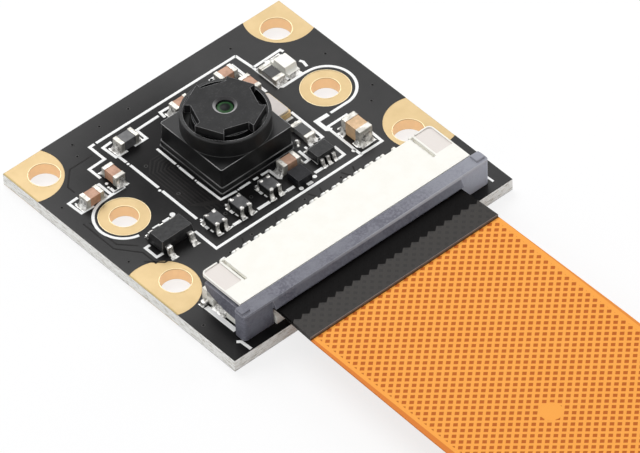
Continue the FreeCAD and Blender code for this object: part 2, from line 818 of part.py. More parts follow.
tray_top = board_top + crystal_tray_height
save("crystal_tray", crystal_slab(0.0, board_top, tray_top))
save("crystal_lid", crystal_slab(crystal_lid_inset, tray_top, tray_top + crystal_lid_height))


# Leaded packages: a moulded body with drafted sides, and gull-wing leads stamped from strip
def drafted_body(x, y, length, width, low, high, draft):
    waist = (low + high) / 2
    half_l = length / 2
    half_w = width / 2
    solid = side_prism([
        (y - half_w + draft, low),
        (y + half_w - draft, low),
        (y + half_w, waist),
        (y + half_w - draft, high),
        (y - half_w + draft, high),
        (y - half_w, waist),
    ], x - half_l, x + half_l)
    trim = front_prism([
        (x - half_l + draft, low),
        (x + half_l - draft, low),
        (x + half_l, waist),
        (x + half_l - draft, high),
        (x - half_l + draft, high),
        (x - half_l, waist),
    ], y - half_w, y + half_w)
    return solid.common(trim)


def gull_wing(x, y_body, side, reach, waist, lead_width, stock):
    foot = reach * 0.5
    outline = [
        (y_body, waist - stock / 2),
        (y_body, waist + stock / 2),
        (y_body + side * (reach - foot), waist + stock / 2),
        (y_body + side * (reach - foot + stock), board_top + stock),
        (y_body + side * reach, board_top + stock),
        (y_body + side * reach, board_top),
        (y_body + side * (reach - foot), board_top),
        (y_body + side * (reach - foot - stock), waist - stock / 2),
    ]
    return side_prism(outline, x - lead_width / 2, x + lead_width / 2)


def leaded_package(name, x, y, length, width, standoff, height, draft, leads, reach, lead_width, stock):
    low = board_top + standoff
    high = board_top + height
    save(name, drafted_body(x, y, length, width, low, high, draft))
    waist = (low + high) / 2
    wings = []
    for side, offset in leads:
        wings.append(gull_wing(x + offset, y + side * width / 2, side, reach, waist, lead_width, stock))
    save(name + "_leads", *wings)


regulator = {
    "x": -8.2,
    "y": -0.57,
    "length": 2.78,
    "width": 1.5,
    "standoff": 0.1,
    "height": 1.12,
    "draft": 0.1,
    "reach": 0.62,
    "lead_width": 0.4,
    "stock": 0.15,
}
regulator_pitch = 0.95
regulator_leads = [(-1, -regulator_pitch), (-1, regulator_pitch)]
regulator_leads += [(1, -regulator_pitch), (1, 0.0), (1, regulator_pitch)]
leaded_package("regulator", leads=regulator_leads, **regulator)
bus_driver = {
    "x": 4.5,
    "y": -1.48,
    "length": 1.6,
    "width": 1.15,
    "standoff": 0.06,
    "height": 0.75,
    "draft": 0.06,
    "reach": 0.34,
    "lead_width": 0.24,
    "stock": 0.1,
}
driver_pitch = 0.5
driver_leads = [(side, place * driver_pitch) for side in (-1, 1) for place in (-1, 0, 1)]
leaded_package("bus_driver", leads=driver_leads, **bus_driver)

# Small square chip in a leadless moulded package
square_chip_x = 1.96
square_chip_y = -2.13
square_chip_side = 1.22
square_chip_height = 0.6
half_chip = square_chip_side / 2
save("clock_buffer", block(square_chip_x - half_chip, square_chip_x + half_chip, square_chip_y - half_chip,
                           square_chip_y + half_chip, board_top, board_top + square_chip_height))

# Common-mode chokes: ferrite blocks in a row, four metal terminals each
choke_width = 0.98
choke_length = 1.2
choke_height = 0.74
choke_terminal = 0.26
choke_terminal_proud = 0.14
choke_foot_height = 0.2
choke_y = -1.58
choke_places = (-5.11, -2.91, -0.27)


def choke_terminals(x):
    pieces = []
    for side_x in (-1, 1):
        for side_y in (-1, 1):
            outer = x + side_x * choke_width / 2
            inner = outer - side_x * choke_terminal
            face = choke_y + side_y * choke_length / 2
            strap = block(inner, outer, face, face + side_y * choke_terminal_proud / 2,
                          board_top, board_top + choke_height)
            foot = block(inner, outer, face, face + side_y * choke_terminal_proud,
                         board_top, board_top + choke_foot_height)
            pieces.append(fuse(strap, foot))
    return pieces


for number, x in enumerate(choke_places, start=1):
    save("line_choke_" + str(number), block(x - choke_width / 2, x + choke_width / 2,
                                            choke_y - choke_length / 2, choke_y + choke_length / 2,
                                            board_top, board_top + choke_height))
save("choke_terminals", *[piece for x in choke_places for piece in choke_terminals(x)])
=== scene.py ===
import bpy
import math
import random
from mathutils import Matrix, Vector


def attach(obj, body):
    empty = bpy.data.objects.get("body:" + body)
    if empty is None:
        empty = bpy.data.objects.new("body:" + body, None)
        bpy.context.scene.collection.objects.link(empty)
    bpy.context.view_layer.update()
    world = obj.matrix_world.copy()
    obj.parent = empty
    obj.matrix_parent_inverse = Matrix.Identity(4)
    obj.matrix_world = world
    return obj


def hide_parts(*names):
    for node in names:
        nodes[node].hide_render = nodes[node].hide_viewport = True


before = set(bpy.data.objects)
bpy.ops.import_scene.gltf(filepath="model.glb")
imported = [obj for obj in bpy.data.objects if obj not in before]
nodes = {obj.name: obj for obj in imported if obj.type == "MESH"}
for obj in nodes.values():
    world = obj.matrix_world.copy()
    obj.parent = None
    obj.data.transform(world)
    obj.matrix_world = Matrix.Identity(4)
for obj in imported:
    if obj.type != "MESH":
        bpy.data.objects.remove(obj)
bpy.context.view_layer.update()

# Studio. A long lens looks down on the board's front left corner, over a pale seamless table.
# A large softbox stands behind the board, and weak fills light the faces towards the lens.
camera_place = Vector((-0.22319, -0.27171, 0.35239))
lens_right = Vector((0.74823, -0.66295, -0.02525))
lens_down = Vector((-0.48555, -0.52128, -0.70179))
lens_forward = Vector((0.45209, 0.53736, -0.71194))
camera_data = bpy.data.cameras.new("product_camera")
camera_data.sensor_fit = "HORIZONTAL"
camera_data.sensor_width = 36.0
camera_data.lens = 411.8
camera_data.clip_start = 0.01
camera_data.clip_end = 5.0
camera = bpy.data.objects.new("product_camera", camera_data)
camera_turn = Matrix((lens_right, -lens_down, -lens_forward)).transposed().to_4x4()
camera.matrix_world = Matrix.Translation(camera_place) @ camera_turn
bpy.context.scene.collection.objects.link(camera)
bpy.context.scene.camera = camera
bpy.context.scene.view_settings.view_transform = "Standard"


def softbox(name, place, target, width, height, watts):
    data = bpy.data.lights.new(name, "AREA")
    data.shape = "RECTANGLE"
    data.size = width
    data.size_y = height
    data.energy = watts
    lamp = bpy.data.objects.new(name, data)
    lamp.location = place
    lamp.rotation_euler = (Vector(target) - Vector(place)).to_track_quat("-Z", "Y").to_euler()
    bpy.context.scene.collection.objects.link(lamp)


softbox("key_softbox", (0.1, 0.42, 0.5), (0, -0.01, 0), 0.5, 0.35, 2.3)
softbox("left_fill", (-0.45, -0.2, 0.3), (0, -0.01, 0), 0.3, 0.3, 0.35)
softbox("right_strip", (0.5, -0.05, 0.22), (0, -0.01, 0), 0.2, 0.3, 0.7)

world = bpy.data.worlds.new("studio_air")
world.use_nodes = True
bpy.context.scene.world = world
world_nodes = world.node_tree.nodes
world_links = world.node_tree.links
world_out = world_nodes["World Output"]
room_light = world_nodes["Background"]
room_light.inputs["Color"].default_value = (1, 1, 1, 1)
room_light.inputs["Strength"].default_value = 0.5
white_surround = world_nodes.new("ShaderNodeBackground")
white_surround.inputs["Color"].default_value = (1, 1, 1, 1)
white_surround.inputs["Strength"].default_value = 1.0


def feed(tree, value, socket):
    if isinstance(value, bpy.types.NodeSocket):
        tree.links.new(value, socket)
    elif value is not None:
        socket.default_value = (*value, 1) if socket.type == "RGBA" else value


def maths(tree, operation, first, second=None):
    node = tree.nodes.new("ShaderNodeMath")
    node.operation = operation
    feed(tree, first, node.inputs[0])
    feed(tree, second, node.inputs[1])
    return node.outputs[0]


def seen_directly(tree):
    path = tree.nodes.new("ShaderNodeLightPath")
    rays = maths(tree, "MAXIMUM", path.outputs["Is Camera Ray"], path.outputs["Is Glossy Ray"])
    return maths(tree, "MAXIMUM", rays, path.outputs["Is Transmission Ray"])


world_mix = world_nodes.new("ShaderNodeMixShader")
world_links.new(seen_directly(world.node_tree), world_mix.inputs[0])
world_links.new(room_light.outputs[0], world_mix.inputs[1])
world_links.new(white_surround.outputs[0], world_mix.inputs[2])
world_links.new(world_mix.outputs[0], world_out.inputs["Surface"])


def mesh_piece(name, shape, finishes, face_finish=None, smooth=True):
    verts, faces = shape
    mesh = bpy.data.meshes.new(name)
    mesh.from_pydata([Vector(v) for v in verts], [], faces)
    for item in finishes:
        mesh.materials.append(item)
    if face_finish:
        mesh.polygons.foreach_set("material_index", face_finish)
    mesh.polygons.foreach_set("use_smooth", [smooth] * len(mesh.polygons))
    mesh.update()
    piece = bpy.data.objects.new(name, mesh)
    bpy.context.scene.collection.objects.link(piece)
    return piece


# Table. A seamless sheet of matte white paper under the part. It glows a little where the lens sees it,
# so that the shadow stays and the paper around it is white.
table_paper = bpy.data.materials.new("table_paper")
table_paper.use_nodes = True
table_tree = table_paper.node_tree
table_shader = table_tree.nodes["Principled BSDF"]
table_shader.inputs["Base Color"].default_value = (0.86, 0.86, 0.87, 1)
table_shader.inputs["Roughness"].default_value = 0.8
table_shader.inputs["Specular IOR Level"].default_value = 0.0
table_glow = table_tree.nodes.new("ShaderNodeEmission")
table_glow.inputs["Strength"].default_value = 1.06
table_mix = table_tree.nodes.new("ShaderNodeMixShader")
glow_share = maths(table_tree, "MULTIPLY", seen_directly(table_tree), 0.72)
table_tree.links.new(glow_share, table_mix.inputs[0])
table_tree.links.new(table_shader.outputs[0], table_mix.inputs[1])
table_tree.links.new(table_glow.outputs[0], table_mix.inputs[2])
table_tree.links.new(table_mix.outputs[0], table_tree.nodes["Material Output"].inputs["Surface"])
table_half = 1.2
table_z = -0.00003
table_corners = [(x * table_half, y * table_half, table_z) for x, y in ((-1, -1), (1, -1), (1, 1), (-1, 1))]
table = mesh_piece("table", (table_corners, [(0, 1, 2, 3)]), [table_paper], smooth=False)

# Flat flexible cable. Amber polyimide film over a lattice of copper, 0.12 mm thick, laminated and
# die-cut so that it narrows at the tab in the connector. It runs out level and then lies on the table.
MM = 0.001
connector_x = 0.1
cable_x = connector_x
cable_film = 0.12
lattice_pitch = 0.53 * MM
# The route as depth and height, and the cable's half widths along its depth.
cable_route = [(-7.02, 2.25), (-56.0, 2.25), (-107.0, 0.09), (-157.0, 0.09)]
cable_stations = [(-7.02, 8.25), (-11.17, 8.25), (-14.92, 8.425), (-26.92, 8.6),
                  (-137.1, 8.6), (-149.1, 8.425), (-157.0, 8.25)]


def group_tree(name, inputs, outputs):
    tree = bpy.data.node_groups.new(name, "ShaderNodeTree")
    for label, kind, value in inputs:
        socket = tree.interface.new_socket(name=label, in_out="INPUT", socket_type=kind)
        if value is not None:
            socket.default_value = value
    for label, kind in outputs:
        tree.interface.new_socket(name=label, in_out="OUTPUT", socket_type=kind)
    return tree, tree.nodes.new("NodeGroupInput"), tree.nodes.new("NodeGroupOutput")


def split(tree, vector):
    node = tree.nodes.new("ShaderNodeSeparateXYZ")
    tree.links.new(vector, node.inputs[0])
    return node.outputs


def vector_maths(tree, operation, first, second=None):
    node = tree.nodes.new("ShaderNodeVectorMath")
    node.operation = operation
    feed(tree, first, node.inputs[0])
    feed(tree, second, node.inputs[1])
    return node.outputs["Value" if operation in ("LENGTH", "DOT_PRODUCT") else 0]


def ramp(tree, value, low, high, to_low=0.0, to_high=1.0):
    node = tree.nodes.new("ShaderNodeMapRange")
    node.interpolation_type = "SMOOTHSTEP"
    tree.links.new(value, node.inputs["Value"])
    for label, end in (("From Min", low), ("From Max", high), ("To Min", to_low), ("To Max", to_high)):
        feed(tree, end, node.inputs[label])
    return node.outputs["Result"]


def blend_colour(tree, mask, first, second):
    node = tree.nodes.new("ShaderNodeMix")
    node.data_type = "RGBA"
    colours = [socket for socket in node.inputs if socket.type == "RGBA"]
    tree.links.new(mask, node.inputs[0])
    feed(tree, first, colours[0])
    feed(tree, second, colours[1])
    return [socket for socket in node.outputs if socket.type == "RGBA"][0]


def noise(tree, vector, scale, detail=2.0, roughness=0.5):
    node = tree.nodes.new("ShaderNodeTexNoise")
    tree.links.new(vector, node.inputs["Vector"])
    for label, number in (("Scale", scale), ("Detail", detail), ("Roughness", roughness)):
        feed(tree, number, node.inputs[label])
    return node.outputs[0]


def place_group(tree, group, **values):
    node = tree.nodes.new("ShaderNodeGroup")
    node.node_tree = group
    for label, value in values.items():
        feed(tree, value, node.inputs[label.replace("_", " ")])
    return node.outputs


def start_finish(name, base, roughness, metallic=0.0, specular=0.5):
    material = bpy.data.materials.new(name)
    material.use_nodes = True
    tree = material.node_tree
    shader = tree.nodes["Principled BSDF"]
    shader.inputs["Base Color"].default_value = (*base, 1)
    shader.inputs["Roughness"].default_value = roughness
    shader.inputs["Metallic"].default_value = metallic
    shader.inputs["Specular IOR Level"].default_value = specular
    where = tree.nodes.new("ShaderNodeTexCoord").outputs["Object"]
    return material, tree, shader, where


def relief(tree, shader, height, distance, normal=None, strength=1.0):
    bump = tree.nodes.new("ShaderNodeBump")
    bump.inputs["Distance"].default_value = distance * MM
    bump.inputs["Strength"].default_value = strength
    tree.links.new(height, bump.inputs["Height"])
    if normal:
        tree.links.new(normal, bump.inputs["Normal"])
    tree.links.new(bump.outputs["Normal"], shader.inputs["Normal"])


# The copper lattice: two families of lines at about 48 degrees to the cable's edges.
lattice, lattice_in, lattice_out = group_tree(
    "copper_lattice",
    [("Vector", "NodeSocketVector", None), ("Pitch", "NodeSocketFloat", lattice_pitch),
     ("Line Share", "NodeSocketFloat", 0.5)],
    [("Copper", "NodeSocketFloat")])
lattice_at = split(lattice, lattice_in.outputs["Vector"])
lattice_lines = []
for operation in ("ADD", "SUBTRACT"):
    along = maths(lattice, operation, lattice_at["X"], lattice_at["Y"])
    scaled = maths(lattice, "DIVIDE", maths(lattice, "MULTIPLY", along, math.sqrt(0.5)),
                   lattice_in.outputs["Pitch"])
    saw = maths(lattice, "FRACT", scaled)
    from_middle = maths(lattice, "ABSOLUTE", maths(lattice, "SUBTRACT", saw, 0.5))
    edge = maths(lattice, "MULTIPLY", lattice_in.outputs["Line Share"], 0.5)
    lattice_lines.append(ramp(lattice, from_middle, maths(lattice, "ADD", edge, 0.04),
                              maths(lattice, "SUBTRACT", edge, 0.04)))
lattice.links.new(maths(lattice, "MAXIMUM", *lattice_lines), lattice_out.inputs["Copper"])

# How far a point is from an upright axis, and its height.
from_axis, axis_in, axis_out = group_tree(
    "distance_from_axis",
    [("Vector", "NodeSocketVector", None), ("Axis", "NodeSocketVector", None)],
    [("Distance", "NodeSocketFloat"), ("Level", "NodeSocketFloat")])
axis_offset = vector_maths(from_axis, "SUBTRACT", axis_in.outputs["Vector"], axis_in.outputs["Axis"])
axis_flat = vector_maths(from_axis, "MULTIPLY", axis_offset, (1.0, 1.0, 0.0))
from_axis.links.new(vector_maths(from_axis, "LENGTH", axis_flat), axis_out.inputs["Distance"])
from_axis.links.new(split(from_axis, axis_in.outputs["Vector"])["Z"], axis_out.inputs["Level"])


def cable_half_width(y):
    for (y0, w0), (y1, w1) in zip(cable_stations, cable_stations[1:]):
        if y0 >= y >= y1:
            return w0 + (w1 - w0) * (y0 - y) / (y0 - y1)
    return cable_stations[-1][1]


route_curve = bpy.data.curves.new("cable_route", "CURVE")
route_curve.dimensions = "3D"
route_spline = route_curve.splines.new("NURBS")
route_spline.points.add(len(cable_route) - 1)
for point, (y, z) in zip(route_spline.points, cable_route):
    point.co = (cable_x * MM, y * MM, z * MM, 1.0)
route_spline.order_u = 3
route_spline.use_endpoint_u = True
route_spline.resolution_u = 40
route_object = bpy.data.objects.new("cable_route", route_curve)
route_mesh = bpy.data.meshes.new_from_object(route_object)
cable_path = [vertex.co.copy() for vertex in route_mesh.vertices]
bpy.data.objects.remove(route_object)

cable_columns = 24
cable_verts = []
cable_faces = []
ring_size = 2 * (cable_columns + 1)
for middle in cable_path:
    half = cable_half_width(middle.y / MM) * MM
    for side in (1, -1):
        for column in range(cable_columns + 1):
            share = -1 + 2 * column / cable_columns
            face_z = middle.z + side * cable_film / 2 * MM
            cable_verts.append((middle.x + side * share * half, middle.y, face_z))
for row in range(len(cable_path) - 1):
    for place in range(ring_size):
        here = row * ring_size + place
        after = row * ring_size + (place + 1) % ring_size
        cable_faces.append((here, here + ring_size, after + ring_size, after))
cable_faces.append(tuple(reversed(range(ring_size))))
cable_faces.append(tuple(range((len(cable_path) - 1) * ring_size, len(cable_path) * ring_size)))


def amber_polyimide():
    material, tree, shader, where = start_finish("amber_polyimide", (0.9, 0.33, 0.06), 0.45, specular=0.12)
    at = split(tree, where)
    stretch = tree.nodes.new("ShaderNodeMapping")
    stretch.inputs["Scale"].default_value = (0.989, 1.092, 1.0)
    tree.links.new(where, stretch.inputs["Vector"])
    copper = place_group(tree, lattice, Vector=stretch.outputs[0], Pitch=lattice_pitch,
                         Line_Share=0.42)["Copper"]
    across = maths(tree, "ABSOLUTE", maths(tree, "SUBTRACT", at["X"], cable_x * MM))

    def by_side(at_left, at_right):
        return ramp(tree, at["X"], -1.0 * MM, 1.0 * MM, at_left, at_right)

    border_out = maths(tree, "SUBTRACT", across, by_side(7.95 * MM, 8.03 * MM))
    border_mask = ramp(tree, border_out, 0.0, 0.04 * MM)
    rim_out = maths(tree, "SUBTRACT", across, by_side(8.22 * MM, 8.38 * MM))
    rim_mask = ramp(tree, rim_out, 0.0, 0.04 * MM, 0.0, by_side(1.0, 0.7))
    tab_mask = ramp(tree, at["Y"], -14.96 * MM, -14.94 * MM)
    # A thin dark line painted on the amber just beyond the near stiffener's edge, as that edge's shadow.
    stiffener_shadow_mask = ramp(tree, at["Y"], -15.02 * MM, -14.98 * MM, 0.0, 0.85)
    dot_middle = (-1.03 * MM, -30.46 * MM, 0.0)
    dot_out = place_group(tree, from_axis, Vector=where, Axis=dot_middle)["Distance"]
    dot_mask = ramp(tree, dot_out, 0.83 * MM, 0.78 * MM)
    plain_copper = maths(tree, "MAXIMUM", maths(tree, "MAXIMUM", dot_mask, tab_mask), border_mask)
    solid_copper = maths(tree, "MAXIMUM", copper, plain_copper)
    mottle = noise(tree, where, 260.0, 3.0)
    line_colour = blend_colour(tree, mottle, (0.99, 0.39, 0.06), (1.0, 0.42, 0.075))
    hole_colour = blend_colour(tree, mottle, (0.5, 0.11, 0.008), (0.58, 0.14, 0.012))
    film_colour = blend_colour(tree, solid_copper, hole_colour, line_colour)
    film_colour = blend_colour(tree, rim_mask, film_colour, (0.75, 0.22, 0.03))
    film_colour = blend_colour(tree, stiffener_shadow_mask, film_colour, (0.02, 0.006, 0.003))
    beside_tab = maths(tree, "MULTIPLY", ramp(tree, across, 8.2 * MM, 8.22 * MM),
                       ramp(tree, at["Y"], -14.93 * MM, -14.9 * MM))
    tree.links.new(blend_colour(tree, beside_tab, film_colour, (0.012, 0.011, 0.01)),
                   shader.inputs["Base Color"])
    relief(tree, shader, solid_copper, 0.012)
    return material


amber = amber_polyimide()
cable = mesh_piece("flat_cable", (cable_verts, cable_faces), [amber], smooth=False)
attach(cable, "module")
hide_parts("flex_cable")


# Stiffeners. Black polyester film, laminated on the cable's ends with adhesive. The lattice shows
# through it as a faint relief. On the near one a dark band with a sawtooth edge is painted below the latch as
# its shadow and reflection, and a light line is painted along its outer edge as a highlight.
grain, grain_in, grain_out = group_tree(
    "surface_grain",
    [("Vector", "NodeSocketVector", None), ("Fine Scale", "NodeSocketFloat", 9000.0),
     ("Broad Scale", "NodeSocketFloat", 900.0)],
    [("Height", "NodeSocketFloat"), ("Tone", "NodeSocketFloat")])
grain_fine = noise(grain, grain_in.outputs["Vector"], grain_in.outputs["Fine Scale"], 3.0, 0.6)
grain_broad = noise(grain, grain_in.outputs["Vector"], grain_in.outputs["Broad Scale"], 3.0, 0.55)
grain.links.new(maths(grain, "ADD", maths(grain, "MULTIPLY", grain_fine, 0.7),
                      maths(grain, "MULTIPLY", grain_broad, 0.3)), grain_out.inputs["Height"])
grain.links.new(ramp(grain, grain_broad, 0.3, 0.7), grain_out.inputs["Tone"])

# The softened normal of a rounded edge, and a mask of where it turns away from the face, along which the
# finishes lay a painted highlight.
edge_round, edge_in, edge_out = group_tree(
    "rounded_edge_highlight",
    [("Radius", "NodeSocketFloat", 0.04 * MM)],
    [("Edge", "NodeSocketFloat"), ("Normal", "NodeSocketVector")])
edge_bevel = edge_round.nodes.new("ShaderNodeBevel")
edge_bevel.samples = 6
edge_round.links.new(edge_in.outputs["Radius"], edge_bevel.inputs["Radius"])
edge_flat = edge_round.nodes.new("ShaderNodeNewGeometry")
edge_turn = vector_maths(edge_round, "DOT_PRODUCT", edge_bevel.outputs[0], edge_flat.outputs["Normal"])
edge_round.links.new(ramp(edge_round, edge_turn, 0.99, 0.8), edge_out.inputs["Edge"])
edge_round.links.new(edge_bevel.outputs[0], edge_out.inputs["Normal"])


def skin(tree, where, fine, broad, radius):
    texture = place_group(tree, grain, Vector=where, Fine_Scale=fine, Broad_Scale=broad)
    rounding = place_group(tree, edge_round, Radius=radius * MM)
    return texture, rounding


def moulded_finish(name, dark, light, roughness, specular, scales, depth, radius, edge_tone, metallic=0.0):
    material, tree, shader, where = start_finish(name, dark, roughness, metallic, specular)
    texture, rounding = skin(tree, where, *scales, radius)
    body = blend_colour(tree, texture["Tone"], dark, light)
    # Along the edges edge_tone is blended in: on most parts a painted highlight, and on the crystal lid the
    # weld's gold edge.
    tree.links.new(blend_colour(tree, rounding["Edge"], body, edge_tone), shader.inputs["Base Color"])
    relief(tree, shader, texture["Height"], depth, rounding["Normal"])
    return material


def dress(names, material):
    for name in names:
        mesh = nodes[name].data
        mesh.materials.clear()
        mesh.materials.append(material)


def black_stiffener_film():
    material, tree, shader, where = start_finish("black_stiffener_film", (0.02, 0.018, 0.017),
                                                 0.42, specular=0.03)
    texture, rounding = skin(tree, where, 6000.0, 500.0, 0.03)
    copper = place_group(tree, lattice, Vector=where, Pitch=lattice_pitch, Line_Share=0.52)["Copper"]
    base = blend_colour(tree, copper, (0.0125, 0.0105, 0.009), (0.022, 0.0185, 0.016))
    at = split(tree, where)
    # Painted shadow and reflection of the latch: a dark band with a sawtooth edge, where the coat is taken
    # away.
    saw = maths(tree, "PINGPONG", maths(tree, "ADD", at["X"], 20.0 * MM), 0.375 * MM)
    line = maths(tree, "ADD", at["Y"], maths(tree, "MULTIPLY", saw, 0.8))
    shade = ramp(tree, line, -12.95 * MM, -12.87 * MM)
    body = blend_colour(tree, shade, base, (0.004, 0.0035, 0.0035))
    tree.links.new(ramp(tree, shade, 0.0, 1.0, 0.36, 0.0), shader.inputs["Coat Weight"])
    shader.inputs["Coat Roughness"].default_value = 0.42
    # A light line painted along the near film's outer edge, as a highlight.
    rim = ramp(tree, at["Y"], -14.87 * MM, -14.9 * MM)
    tree.links.new(blend_colour(tree, rim, body, (0.2, 0.17, 0.155)), shader.inputs["Base Color"])
    height = maths(tree, "ADD", copper, texture["Tone"])
    relief(tree, shader, height, 0.006, rounding["Normal"])
    return material


black_film = black_stiffener_film()
dress(["cable_stiffener_near", "cable_stiffener_far"], black_film)

# Gold. Thin gold over nickel, plated on the copper of pads, hole linings, rings and cable fingers.
# It is satin and a little mottled, the hole linings are painted lighter and warmer as light, the edges carry
# a painted highlight, and it is cut through at the board's left side.
board_top = 1.0


def gold_plating():
    material, tree, shader, where = start_finish("gold_plating", (0.58, 0.42, 0.24), 0.42, 0.3, 0.2)
    texture, rounding = skin(tree, where, 7000.0, 700.0, 0.05)
    body = blend_colour(tree, texture["Tone"], (0.565, 0.415, 0.212), (0.61, 0.455, 0.24))
    at = split(tree, where)
    # Painted light: the hole linings are coloured lighter and warmer than the pads.
    lit_lining = ramp(tree, at["Z"], (board_top - 0.05) * MM, (board_top - 0.08) * MM)
    body = blend_colour(tree, lit_lining, body, (0.99, 0.69, 0.39))
    tree.links.new(ramp(tree, lit_lining, 0.0, 1.0, 0.3, 0.65), shader.inputs["Metallic"])
    cut = ramp(tree, at["X"], -12.36 * MM, -12.42 * MM, 0.0, 0.8)
    body = blend_colour(tree, cut, body, (0.34, 0.26, 0.1))
    # A painted highlight on the edges.
    tree.links.new(blend_colour(tree, rounding["Edge"], body, (0.72, 0.57, 0.36)),
                   shader.inputs["Base Color"])
    relief(tree, shader, texture["Height"], 0.004, rounding["Normal"])
    return material


gold = gold_plating()
dress(["mounting_pads", "terminal_rings", "cable_fingers_near", "cable_fingers_far"], gold)


def lathe(shape, x, y, profile, steps):
    verts, faces = shape
    for index, (radius, z) in enumerate(profile):
        first = len(verts)
        for step in range(steps if radius else 1):
            angle = 2 * math.pi * step / steps
            verts.append(((x + radius * math.cos(angle)) * MM, (y + radius * math.sin(angle)) * MM, z * MM))
        for step in range(steps if index else 0):
            here = first - steps + step
            after = first - steps + (step + 1) % steps
            faces.append((here, after, after + steps, here + steps) if radius else (here, after, first))


def hole_rim(shape, x, y, radius, tube, z, rows=8):
    turns = [math.pi * row / (rows - 1) for row in range(rows)]
    profile = [(radius + tube * math.cos(turn), z + tube * 0.45 * math.sin(turn)) for turn in turns]
    lathe(shape, x, y, profile, steps=72)


ring_x, ring_y = 9.1, 3.26
screw_x, screw_ys = 10.5, (10.0, -3.7)
hole_places = [(side * screw_x, y, 1.1) for side in (-1, 1) for y in screw_ys]
hole_places += [(side * ring_x, ring_y, 1.0) for side in (-1, 1)]
# Raised lips round the holes, in a brighter gold than the pads: a painted highlight on the plated rims.
rims = ([], [])
for x, y, radius in hole_places:
    hole_rim(rims, x, y, radius + 0.03, 0.03, board_top - 0.01)
for side in (-1, 1):
    hole_rim(rims, side * ring_x, ring_y, 1.795, 0.022, board_top - 0.005)
rim_highlight_gold = moulded_finish("gold_rim_highlight", (0.86, 0.7, 0.42), (0.95, 0.8, 0.5), 0.3, 0.4, (7000.0, 900.0),
                          0.002, 0.02, (0.95, 0.8, 0.5), metallic=0.4)
hole_rims = mesh_piece("hole_rims", rims, [rim_highlight_gold])
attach(hole_rims, "module")

# Circuit board. Glass-fibre laminate with a black solder mask on both faces, routed to size.
# The cut edges show the bare fibre layers. A painted sheen lies on the mask: a coat that grows away from the
# lens and weakens towards the front edge, except at the right.
lens_axis = (0.3 * MM, 3.48 * MM, 0.0)


def masked_laminate():
    material, tree, shader, where = start_finish("solder_mask_board", (0.018, 0.018, 0.019),
                                                 0.36, specular=0.02)
    at = split(tree, where)
    above = ramp(tree, at["Z"], (board_top - 0.025) * MM, (board_top - 0.015) * MM)
    below = ramp(tree, at["Z"], 0.025 * MM, 0.015 * MM)
    mask_share = maths(tree, "MAXIMUM", above, below)
    layers = tree.nodes.new("ShaderNodeMapping")
    layers.inputs["Scale"].default_value = (1.0, 1.0, 6.0)
    tree.links.new(where, layers.inputs["Vector"])
    fibre = ramp(tree, noise(tree, layers.outputs[0], 2200.0, 5.0, 0.7), 0.3, 0.55)
    laminate_colour = blend_colour(tree, fibre, (0.55, 0.52, 0.45), (1.0, 1.0, 0.97))
    texture = place_group(tree, grain, Vector=where, Fine_Scale=5000.0, Broad_Scale=350.0)
    mask_colour = blend_colour(tree, texture["Tone"], (0.008, 0.0078, 0.0082), (0.0145, 0.0138, 0.0142))
    tree.links.new(blend_colour(tree, mask_share, laminate_colour, mask_colour), shader.inputs["Base Color"])
    tree.links.new(ramp(tree, mask_share, 0.0, 1.0, 0.8, 0.36), shader.inputs["Roughness"])
    # Painted sheen: the coat's weight stands in for the mask's reflections, weaker near the lens and towards
    # the front edge.
    lens_out = place_group(tree, from_axis, Vector=where, Axis=lens_axis)["Distance"]
    lens_lean = maths(tree, "ADD", lens_out, maths(tree, "MULTIPLY", at["X"], 0.35))
    painted_mask_sheen = ramp(tree, lens_lean, 3.5 * MM, 10.0 * MM, 0.06, 0.4)
    front_edge_shade = maths(tree, "MAXIMUM", ramp(tree, at["Y"], -10.5 * MM, -4.5 * MM, 0.3, 1.0),
                       ramp(tree, at["X"], 4.0 * MM, 11.0 * MM))
    tree.links.new(maths(tree, "MULTIPLY", painted_mask_sheen, front_edge_shade), shader.inputs["Coat Weight"])
    shader.inputs["Coat Roughness"].default_value = 0.36
    height = blend_colour(tree, mask_share, fibre, texture["Height"])
    relief(tree, shader, height, 0.012, strength=0.6)
    return material


board_finish = masked_laminate()
dress(["circuit_board"], board_finish)


# Copper traces. Etched copper under the mask, which follows it as a low ridge. A bundle of parallel
# lanes runs beside the lens holder, and the others join the parts around it.
def strip(shape, points, width, low, high):
    verts, faces = shape
    points = [Vector(p) for p in points]
    start = len(verts)
    for index, point in enumerate(points):
        before = (point - points[index - 1]).normalized() if index else None
        after = (points[index + 1] - point).normalized() if index < len(points) - 1 else None
        before = before or after
        after = after or before
        run = (before + after).normalized()
        across = Vector((-run.y, run.x))
        spread = width / 2 / max(0.35, run.dot(before))
        for side, z in ((1, low), (1, high), (-1, high), (-1, low)):
            inset = 0.82 if z == high else 1.0
            place = point + across * side * spread * inset
            verts.append((place.x * MM, place.y * MM, z * MM))
    for index in range(len(points) - 1):
        here = start + index * 4
        for corner in range(3):
            faces.append((here + corner, here + corner + 1, here + 5 + corner, here + 4 + corner))
    faces.append((start + 3, start + 2, start + 1, start))
    last = start + (len(points) - 1) * 4
    faces.append((last, last + 1, last + 2, last + 3))


